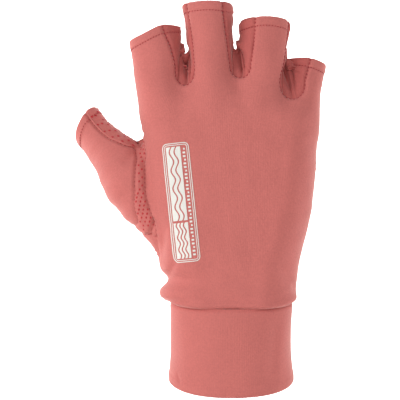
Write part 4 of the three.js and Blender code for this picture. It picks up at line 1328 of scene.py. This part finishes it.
def cuff():
    """The double knit tube: an outer and an inner face joined by a rolled fold at the mouth, with
    slow upright waves and its top edge tucked under the panels."""
    turn = np.linspace(0, 2 * np.pi, 289)[:-1][:, None]
    fold = np.linspace(0, np.pi, 13)
    half = CUFF_WALL / 2
    low = half / CUFF_LENGTH
    up = np.linspace(low, 1, 96)
    profile_up = np.concatenate([up[::-1], low * (1 - np.sin(fold[1:-1])), up])
    inset = np.concatenate([0 * up, half * (1 - np.cos(fold[1:-1])), 0 * up + CUFF_WALL])
    height = mix(0, CUFF_LENGTH, profile_up)
    wave = (0.22 * np.sin(3 * turn + 0.9) + 0.14 * np.sin(7 * turn + 0.05 * height)
            + 0.10 * np.sin(5 * turn - 0.16 * height + 1.0)) * np.sin(np.pi * share(height, 0, 42))
    tuck = 1.3 * np.exp(-(((CUFF_LENGTH - height) / 1.3) ** 2))
    band = 0.16 * np.exp(-(((height - 5.2) / 0.8) ** 2))
    dimple = cuff_creases(turn, height)
    grid = cuff_point(turn, profile_up, inset - wave + tuck + band + dimple)
    ids = np.arange(grid.shape[0] * grid.shape[1]).reshape(grid.shape[:2])
    quads = cells(closed(closed(ids.T).T))
    round_length = np.pi * (CUFF_WIDTH + CUFF_DEPTH) / 2
    u = np.broadcast_to(turn / (2 * np.pi) * round_length, grid.shape[:2])
    v = np.broadcast_to(profile_up * CUFF_LENGTH, grid.shape[:2])
    return make_mesh("cuff_knit", grid.reshape(-1, 3), [quads],
                     np.stack([u, v], axis=-1).reshape(-1, 2))


# Creases of the cuff: two ends as degrees from the back and heights, depth and width
CUFF_CREASES = rows(
    "a0 h0 a1 h1 depth width",
    (-52, 3.0, -62, 8.0, 0.45, 1.0),
    (38, 6.0, 46, 36.0, 0.55, 3.2),
    (-20, 30.0, -48, 22.0, 0.25, 2.2),
    (150, 28.0, 205, 20.0, 0.45, 2.4),
    (170, 12.0, 220, 9.0, 0.35, 2.0),
)


def cuff_creases(turn, height):
    """The depth of the creases on the unrolled cuff."""
    radius = (CUFF_WIDTH + CUFF_DEPTH) / 4
    total = np.zeros(np.broadcast_shapes(turn.shape, height.shape))
    for a0, h0, a1, h1, depth, width in zip(*CUFF_CREASES.values()):
        angle = (np.degrees(turn) - a0 + 180) % 360 - 180
        x = np.radians(angle) * radius
        ends = (0.0, h0, np.radians(a1 - a0) * radius, h1)
        total += depth * valley(x, height, ends, width, 0.3)
    return total


# The print: a frame of two thin lines round two rippled blocks and a column of short bars

def on_back(x, z):
    """Points on the form straight behind places on the back of the hand."""
    return cast(point(x, hand_section(z)["y"], z), np.array([0.0, -1.0, 0.0]))


def on_label(a, b):
    """Label places, a across and b up from its middle, laid on the back of the hand."""
    lean = math.radians(PRINT_LEAN)
    x = PRINT_MIDDLE["across"] * PALM_BREADTH + a * math.cos(lean) - b * math.sin(lean)
    z = WRIST_Z + PRINT_MIDDLE["up"] * HAND_LENGTH + b * math.cos(lean) + a * math.sin(lean)
    return on_back(x, z)


def frame_ring(inset, line, corner):
    """A closed ribbon round the label: a rectangle with round corners."""
    half_a, half_b = PRINT_WIDTH / 2 - inset, PRINT_LENGTH / 2 - inset
    radius = max(corner - inset, 0.5)
    angle = np.linspace(0, np.pi / 2, 9)
    outline = []
    for sign_a, sign_b, start in ((1, 1, 0), (-1, 1, 1), (-1, -1, 2), (1, -1, 3)):
        turn = angle + start * np.pi / 2
        centre = np.array([sign_a * (half_a - radius), sign_b * (half_b - radius)])
        outline.append(np.stack([centre + (radius - w) * np.stack(
            [np.cos(turn), np.sin(turn)], axis=1) for w in (0, line)], axis=1))
    ring = np.concatenate(outline + [outline[0][:1]])
    length = running(ring[:, 0])
    fine = np.union1d(length, np.arange(0, length[-1], 0.7))
    return np.stack([along_line(ring[:, w], length, fine) for w in (0, 1)], axis=1)


def bar(low, high, left, right):
    """A plain bar, as a grid that is fine enough to follow the cloth."""
    a = np.linspace(left, right, 25)[:, None]
    b = mix(low, high, np.linspace(0, 1, 7)[None])
    return np.stack(np.broadcast_arrays(a, b), axis=-1)


def ripple_block(low, high, left, right, cuts, sway, length):
    """A block parted lengthwise by wavy gaps: strips between waves that run up the label."""
    b = np.linspace(low, high, 49)[:, None]
    wave = sway * np.sin(2 * np.pi * (b - low) / length)
    edges = np.linspace(left, right, cuts + 2)
    strips = []
    for i in range(cuts + 1):
        near = edges[i] + (wave + 0.35 if i else 0 * wave)
        far = edges[i + 1] + (wave - 0.35 if i < cuts else 0 * wave)
        a = mix(near, far, np.linspace(0, 1, 7)[None])
        strips.append(np.stack([a, np.broadcast_to(b, a.shape)], axis=-1))
    return strips


def label_shapes():
    """The frame's two lines, two rippled blocks one above the other, and a column of bars."""
    half = PRINT_LENGTH / 2
    left, right = -PRINT_WIDTH / 2 + 1.8, 2.3
    shapes = [frame_ring(0.0, 0.40, 2.4), frame_ring(0.90, 0.34, 2.4)]
    shapes += ripple_block(-half + 1.9, -half + 19.5, left, right, 3, 0.55, 5.9)
    shapes += ripple_block(-half + 20.6, half - 1.9, left, right, 2, 0.85, 9.0)
    bars = 30
    pitch = (PRINT_LENGTH - 5.0) / bars
    for i in range(bars):
        low = -half + 2.5 + i * pitch
        width = (1.3, 1.3, 0.8)[i % 3]
        shapes.append(bar(low + 0.5, low + pitch - 0.4, 4.5 - width, 4.5))
    return shapes


def transfer_print():
    patches = []
    for shape in label_shapes():
        patches.append((on_label(shape[..., 0], shape[..., 1]), shape, 0.0))

    def heights(p, n, extra):
        height, _ = relief(p, n)
        return height + FILM["out"], height + FILM["in"]

    return wall_mesh("transfer_print_film", patches, heights)


# Many small things: copies of one small shape on frames of position and three directions

def copies(name, shape, faces, place, axes):
    """Joins copies of a small shape: place is one point each, axes three directions each."""
    points = place[:, None] + np.einsum("vk,nkc->nvc", shape, axes)
    shift = np.arange(len(place))[:, None, None] * len(shape)
    return make_mesh(name, points.reshape(-1, 3),
                     [(f[None] + shift).reshape(-1, f.shape[1]) for f in faces])


def lathe(profile, sides):
    """A closed round shape along x: rings of the given places and radii, and a point at each end."""
    turn = np.arange(sides) * 2 * np.pi / sides
    rings = [np.stack([0 * turn + x, r * np.cos(turn), r * np.sin(turn)], axis=1)
             for x, r in profile[1:-1]]
    ends = [[profile[0][0], 0, 0], [profile[-1][0], 0, 0]]
    shape = np.concatenate(rings + [np.array(ends, float)])
    ids = closed(np.arange(len(rings) * sides).reshape(len(rings), sides))
    first, last = len(shape) - 2, len(shape) - 1
    caps = np.concatenate([
        np.stack([ids[0, :-1], ids[0, 1:], np.full(sides, first)], axis=1),
        np.stack([ids[-1, 1:], ids[-1, :-1], np.full(sides, last)], axis=1),
    ])
    return shape, [cells(ids)[:, ::-1], caps[:, ::-1]]


def cord(name, line, radius, lift, sideways):
    """A thin round cord along a line on the cloth, shifted to one side of it."""
    n = normals_at(line)
    along = unit(np.gradient(line, axis=0))
    side = unit(np.cross(n, along))
    height, _ = relief(line + sideways * side, n)
    centre = line + sideways * side + (height + lift)[:, None] * n
    turn = np.arange(8) * np.pi / 4
    ring = np.cos(turn)[None, :, None] * n[:, None] + np.sin(turn)[None, :, None] * side[:, None]
    count = np.arange(len(line))
    fade = np.sqrt(np.clip(np.minimum(count, count[::-1]) / 3, 0.05, 1))
    points = centre[:, None] + radius * fade[:, None, None] * ring
    ids = closed(np.arange(len(line) * 8).reshape(-1, 8))
    caps = np.stack([ids[0, :-1][::-1], ids[-1, :-1]])
    length = lengths_of(line[None], 1)[0]
    uv = np.stack([np.tile(np.arange(8) * 0.3, len(line)), np.repeat(length, 8)], axis=1)
    return make_mesh(name, points.reshape(-1, 3), [cells(ids), caps], uv)


def spaced(line, pitch):
    """Points on a line at an even pitch, with the line's direction at each."""
    length = running(line)
    count = max(int(length[-1] / pitch), 1)
    at = (np.arange(count) + 0.5) * length[-1] / count
    ahead = along_line(line, length, at + 0.3)
    behind = along_line(line, length, at - 0.3)
    return along_line(line, length, at), unit(ahead - behind)


def stitches(name, lines, pitch, length, radius, lift, lean):
    """Short rounded stitches along lines on the cloth, sunk by half their thickness."""
    profile = [(-1.0, 0), (-0.8, 0.6), (-0.45, 1), (0.45, 1), (0.8, 0.6), (1.0, 0)]
    shape, faces = lathe(profile, 6)
    shape = shape * np.array([length / 2, radius, radius])
    place, along = (np.concatenate(parts) for parts in zip(*(spaced(l, pitch) for l in lines)))
    n = normals_at(place)
    along = unit(along - (along * n).sum(1, keepdims=True) * n)
    side = np.cross(n, along)
    turned_along = math.cos(lean) * along + math.sin(lean) * side
    height, _ = relief(place, n)
    place = place + (height + lift)[:, None] * n
    axes = np.stack([turned_along, np.cross(n, turned_along), n], axis=1)
    return copies(name, shape, faces, place, axes)


def hem_lines():
    """Lines that run round each finger at the hem's depth below its end."""
    turn = np.linspace(0, 360, 181)
    lines = [settle(cast(*finger_ray(k, turn, rim_z(k, turn) - HEM_DEPTH)), 3) for k in range(4)]
    grid = thumb_grid()
    left = lengths_of(grid[:, ::-1], 1)[:, ::-1]
    column = np.argmin(np.abs(left - HEM_DEPTH), axis=1)
    row = grid[np.arange(len(grid)), column]
    for _ in range(3):
        row = (np.roll(row, 1, 0) + row + np.roll(row, -1, 0)) / 3
    row = settle(row, 4)
    return lines + [np.concatenate([row, row[:1]])]


def lattice(patches, apart, margin, pitch):
    """Places of the grip dots: along lines of even length on the cloth, every other line shifted
    by the pitch, with its dots two pitches apart. Each line is found column by column, and the
    dots by their length along it."""
    found = []
    for points, uv, _ in patches:
        u, v = uv[..., 0], uv[..., 1]
        low, high = int(np.ceil(v.min() / apart)), int(np.floor(v.max() / apart))
        for line in range(low, high + 1):
            level = line * apart
            row = (v <= level).sum(axis=0) - 1
            good = (row >= 0) & (row < v.shape[0] - 1)
            if good.sum() < 2:
                continue
            column = np.nonzero(good)[0]
            row = row[good]
            t = (level - v[row, column]) / np.maximum(v[row + 1, column] - v[row, column], 1e-9)
            place = mix(points[row, column], points[row + 1, column], t[:, None])
            at = mix(u[row, column], u[row + 1, column], t)
            order = np.argsort(at)
            at, place = at[order], place[order]
            shift = pitch * (line % 2)
            first = np.ceil((at[0] - shift) / (2 * pitch))
            last = np.floor((at[-1] - shift) / (2 * pitch))
            wanted = np.arange(first, last + 1) * 2 * pitch + shift
            gap = np.interp(wanted, at[:-1], np.diff(at))
            wanted = wanted[gap < 2]
            found.append(along_line(place, at, wanted))
    return clear_of_seams(np.concatenate(found), margin)


def flat_lattice(points, apart, margin):
    """Places on a patch under every other node of a square lattice, as seen from the palm."""
    fine = np.concatenate([mix(points[:-1], points[1:], t) for t in (0, 0.25, 0.5, 0.75)])
    fine = fine.reshape(-1, 3)
    low, high = np.ceil(fine.min(0) / apart), fine.max(0) / apart
    i, j = np.meshgrid(np.arange(low[0], high[0]), np.arange(low[2], high[2]))
    every_other = (i + j) % 2 == 0
    x, z = i[every_other] * apart, j[every_other] * apart
    d = np.hypot(fine[:, 0] - x[:, None], fine[:, 2] - z[:, None])
    return clear_of_seams(fine[d.argmin(1)[d.min(1) < 0.5]], margin)


def clear_of_seams(place, margin):
    """The places that lie off the seams and rims, one to each small cell of space."""
    keep = np.ones(len(place), bool)
    for lines in seam_lines().values():
        for line in lines:
            keep &= nearest(place, line)[0] > margin
    keep &= rim_distance(place) > margin
    place = place[keep]
    _, first = np.unique(np.round(place / DOT_CELL).astype(int), axis=0, return_index=True)
    return place[np.sort(first)]


def grip_dots(name, place, diameter, squeeze=1.0):
    """Low domes of silicone on the cloth, narrower across where the cloth is gathered."""
    profile = [(-0.5, 0), (-0.3, 0.9), (0.25, 1.0), (0.75, 0.68), (1.0, 0)]
    shape, faces = lathe(profile, 8)
    shape = shape * np.array([DOT_HEIGHT, diameter / 2, diameter / 2])
    n = normals_at(place)
    side = unit(np.cross(n, np.array([0.3, 0.2, 1.0])))
    stand, _ = relief(place, n)
    axes = np.stack([n, squeeze * side, np.cross(n, side)], axis=1)
    return copies(name, shape, faces, place + stand[:, None] * n, axes)


# What a user may change

class GloveSizes(bpy.types.PropertyGroup):
    """Sizes of what is sewn and printed on the cloth."""
    hem_pitch: bpy.props.FloatProperty(
        name="Hem stitch pitch", description="Distance between the hem's stitches",
        default=1.5 * MM, min=0.5 * MM, subtype="DISTANCE", unit="LENGTH")
    seam_pitch: bpy.props.FloatProperty(
        name="Seam stitch pitch", description="Distance between the web seams' stitches",
        default=2.0 * MM, min=0.5 * MM, subtype="DISTANCE", unit="LENGTH")
    dot_diameter: bpy.props.FloatProperty(
        name="Dot diameter", description="Width of one grip dot",
        default=1.25 * MM, min=0.3 * MM, subtype="DISTANCE", unit="LENGTH")


class GloveColours(bpy.types.PropertyGroup):
    """Colours of the glove's materials, as sRGB hex values."""
    knit: bpy.props.StringProperty(
        name="Knit", description="Coral stretch knit of panels and cuff", default="#c8706a")
    # The gusset colour is the same knit darkened as painted shade, for the shade that falls between
    # the fingers
    gusset: bpy.props.StringProperty(
        name="Gusset knit", description="Knit between the fingers, less faded", default="#bb605b")
    thread: bpy.props.StringProperty(
        name="Thread", description="Sewing thread of hems and seams", default="#ae3034")
    dots: bpy.props.StringProperty(
        name="Grip dots", description="Silicone of the grip dots", default="#c23238")
    film: bpy.props.StringProperty(
        name="Film", description="Film of the print", default="#e4e3dc")
    paper: bpy.props.StringProperty(
        name="Backdrop", description="Paper behind and below the glove", default="#f7f6f4")


def colours():
    return bpy.context.scene.glove_colours


def sizes():
    return bpy.context.scene.glove_sizes


def knit():
    return material_of("coral_stretch_knit", stretch_knit, colours().knit)


class GLOVE_OT_back_panel(bpy.types.Operator):
    """Makes the back panel with the back strips of the fingers"""
    bl_idname = "glove.back_panel"
    bl_label = "Back panel"

    def execute(self, context):
        piece = back_panel()
        finish_piece(piece, knit(), "knit", "back_panel")
        return {"FINISHED"}


class GLOVE_OT_palm_panel(bpy.types.Operator):
    """Makes the palm panel with the palm strips of the fingers"""
    bl_idname = "glove.palm_panel"
    bl_label = "Palm panel"

    def execute(self, context):
        piece = palm_panel()
        finish_piece(piece, knit(), "grip_knit", "palm_panel")
        return {"FINISHED"}


class GLOVE_OT_thumb(bpy.types.Operator):
    """Makes the thumb's back leaf, and its palm side with the strip round its root"""
    bl_idname = "glove.thumb"
    bl_label = "Thumb"

    def execute(self, context):
        back = thumb_panel("back")
        finish_piece(back, knit(), "knit", "thumb_back_panel")
        palm = thumb_panel("palm")
        finish_piece(palm, knit(), "grip_knit", "thumb_palm_panel")
        return {"FINISHED"}


class GLOVE_OT_gussets(bpy.types.Operator):
    """Makes the three gusset strips between the fingers"""
    bl_idname = "glove.gussets"
    bl_label = "Gussets"

    def execute(self, context):
        # The gussets take a darker copy of the knit: painted shade between the fingers
        gusset_shade_knit = material_of("gusset_stretch_knit", stretch_knit, colours().gusset)
        for k, web in enumerate(WEBS):
            piece = gusset(k)
            finish_piece(piece, gusset_shade_knit, "knit", "fourchette_" + web["name"])
        return {"FINISHED"}


class GLOVE_OT_cuff(bpy.types.Operator):
    """Makes the double knit cuff"""
    bl_idname = "glove.cuff"
    bl_label = "Cuff"

    def execute(self, context):
        piece = cuff()
        finish_piece(piece, knit(), "cuff_knit", "cuff")
        return {"FINISHED"}


class GLOVE_OT_print(bpy.types.Operator):
    """Makes the plain print on the back of the hand"""
    bl_idname = "glove.print"
    bl_label = "Print"

    def execute(self, context):
        film = material_of("matt_transfer_film", transfer_film, colours().film)
        finish_piece(transfer_print(), film, "print_film", "transfer_print")
        return {"FINISHED"}


class GLOVE_OT_stitches(bpy.types.Operator):
    """Sews the hems of the fingers and thumb, and the web seams"""
    bl_idname = "glove.stitches"
    bl_label = "Stitches"

    def execute(self, context):
        thread = material_of("polyester_thread", sewing_thread, colours().thread)
        seams = seam_lines()
        hem = stitches("hem_stitches", hem_lines(), sizes().hem_pitch / MM, *STITCHES["hem"])
        web = stitches("web_seam_stitches", seams["web"], sizes().seam_pitch / MM,
                       *STITCHES["web"])
        leaf = stitches("thumb_seam_stitches", seams["leaf"] + seams["root"], SEAMS["leaf"][3],
                        *STITCHES["thumb"])
        for piece in (hem, web, leaf):
            finish_piece(piece, thread, "knit")
        # The piping lies beside the seam on the thumb's palm side and ends under the hem
        seam = thumb_grid()[0, STRIP_ROWS:-6]
        piping = cord("thumb_piping", seam, radius=0.45, lift=0.30, sideways=-0.65)
        finish_piece(piping, knit(), "grip_knit")
        return {"FINISHED"}


class GLOVE_OT_grip_dots(bpy.types.Operator):
    """Prints the raised grip dots on the palm and the inside of the thumb"""
    bl_idname = "glove.grip_dots"
    bl_label = "Grip dots"

    def execute(self, context):
        rubber = material_of("red_silicone", silicone, colours().dots)
        diameter = sizes().dot_diameter / MM
        margin = diameter * DOT_MARGIN
        (strip, strip_uv), (inside, inside_uv) = (
            (points.transpose(1, 0, 2), uv.transpose(1, 0, 2))
            for points, uv, _ in thumb_patches("palm"))
        # On the inside the lattice is laid out from the top seam
        from_seam = inside_uv - inside_uv[:, -1:] * (1, 0) + (1.6, 0)
        # On the strip the dots' places along it go by height, and across it by length
        height = strip[..., 2]
        down = np.cumsum(np.abs(np.diff(height, axis=1, prepend=height[:, :1])), axis=1)
        by_height = np.stack([down - height[:, :1], strip_uv[..., 1]], axis=-1)
        end = leaf_column() + 1
        outside = [(strip[:, :end], by_height[:, :end], 0.0)]
        palm_places = lattice(palm_patches(), DOT_PITCH, margin, DOT_PITCH)
        strip_places = lattice(outside, STRIP_DOTS["apart"], margin, STRIP_DOTS["pitch"])
        root_places = flat_lattice(strip[:, end:], DOT_PITCH, margin)
        inside_places = lattice([(inside, from_seam, 0.0)], DOT_PITCH, margin, DOT_PITCH)
        for piece in (
            grip_dots("palm_grip_dots", palm_places, diameter),
            grip_dots("thumb_strip_dots", strip_places, diameter, STRIP_DOTS["squeeze"]),
            grip_dots("thumb_root_dots", root_places, diameter),
            grip_dots("thumb_grip_dots", inside_places, diameter * 1.25),
        ):
            finish_piece(piece, rubber, "grip_knit")
        return {"FINISHED"}


# Studio

CAMERA_AT = (-15.75, -1012.0, 90.75)
CAMERA_DISTANCE = 1000.0
FRAME_WIDTH = 200.0
FLOOR_Z = -95.0
SKY_STRENGTH = 0.34
BACKDROP = {"half": 1600.0, "behind": 1150.0, "bend": 320.0, "height": 1700.0}
LIGHTS = (
    ("left_window", (-950, -480, 420), (0, 0, 90), 600, 6.4),
    ("right_rim", (900, 300, 150), (0, 0, 90), 480, 4.2),
    ("front_fill", (120, -1100, 520), (0, 0, 90), 900, 4.6),
    ("left_edge", (-700, 420, 140), (0, 0, 90), 380, 2.8),
    ("backdrop_light", (0, 200, 600), (0, 1150, 350), 600, 20.0),
)


def backdrop():
    """One curved sheet of paper: a floor that bends up into a wall behind the glove."""
    bend = np.linspace(0, np.pi / 2, 17)
    half, behind, radius, height = BACKDROP.values()
    y = np.concatenate([[-half], behind - radius + radius * np.sin(bend), [behind]])
    z = FLOOR_Z + np.concatenate([[0.0], radius * (1 - np.cos(bend)), [height]])
    grid = point(np.linspace(-half, half, 3)[:, None], y, z)
    return make_mesh("paper_backdrop", grid.reshape(-1, 3), [quads_of(grid)])


class GLOVE_OT_stage(bpy.types.Operator):
    """Makes the paper backdrop, the soft lights and the camera"""
    bl_idname = "glove.stage"
    bl_label = "Stage"

    def execute(self, context):
        paper = backdrop()
        paper.data.materials.append(material_of("backdrop_paper", studio_paper, colours().paper))
        scene = context.scene
        for name, place, target, size, power in LIGHTS:
            light = bpy.data.lights.new(name, "AREA")
            light.size = size * MM
            light.energy = power
            lamp = bpy.data.objects.new(name, light)
            lamp.location = np.array(place) * MM
            way = Vector(np.subtract(target, place))
            lamp.rotation_euler = way.to_track_quat("-Z", "Y").to_euler()
            scene.collection.objects.link(lamp)
        world = bpy.data.worlds.new("white_room")
        world.use_nodes = True
        sky = world.node_tree.nodes["Background"]
        sky.inputs["Color"].default_value = (1.0, 1.0, 1.0, 1.0)
        sky.inputs["Strength"].default_value = SKY_STRENGTH
        scene.world = world
        scene.view_settings.view_transform = "Standard"
        camera = bpy.data.cameras.new("camera")
        camera.sensor_width = 36.0
        camera.lens = camera.sensor_width * CAMERA_DISTANCE / FRAME_WIDTH
        camera.clip_end = 10.0
        eye = bpy.data.objects.new("camera", camera)
        eye.location = np.array(CAMERA_AT) * MM
        eye.rotation_euler = (math.pi / 2, 0, 0)
        scene.collection.objects.link(eye)
        scene.camera = eye
        return {"FINISHED"}


OPERATORS = (
    GLOVE_OT_stage,
    GLOVE_OT_back_panel,
    GLOVE_OT_palm_panel,
    GLOVE_OT_thumb,
    GLOVE_OT_gussets,
    GLOVE_OT_cuff,
    GLOVE_OT_print,
    GLOVE_OT_stitches,
    GLOVE_OT_grip_dots,
)


class GLOVE_PT_parts(bpy.types.Panel):
    """Lists the glove's pieces and what may be changed"""
    bl_idname = "GLOVE_PT_parts"
    bl_label = "Fishing Glove"
    bl_space_type = "VIEW_3D"
    bl_region_type = "UI"
    bl_category = "Glove"

    def draw(self, context):
        for group in (context.scene.glove_sizes, context.scene.glove_colours):
            for name in group.__annotations__:
                self.layout.prop(group, name)
        for operator in OPERATORS:
            self.layout.operator(operator.bl_idname)


CLASSES = (GloveSizes, GloveColours, *OPERATORS, GLOVE_PT_parts)


def register():
    for item in CLASSES:
        bpy.utils.register_class(item)
    bpy.types.Scene.glove_sizes = bpy.props.PointerProperty(type=GloveSizes)
    bpy.types.Scene.glove_colours = bpy.props.PointerProperty(type=GloveColours)


def unregister():
    del bpy.types.Scene.glove_sizes
    del bpy.types.Scene.glove_colours
    for item in reversed(CLASSES):
        bpy.utils.unregister_class(item)


def main():
    register()
    for operator in OPERATORS:
        module, name = operator.bl_idname.split(".")
        getattr(getattr(bpy.ops, module), name)()


if __name__ == "__main__":
    main()
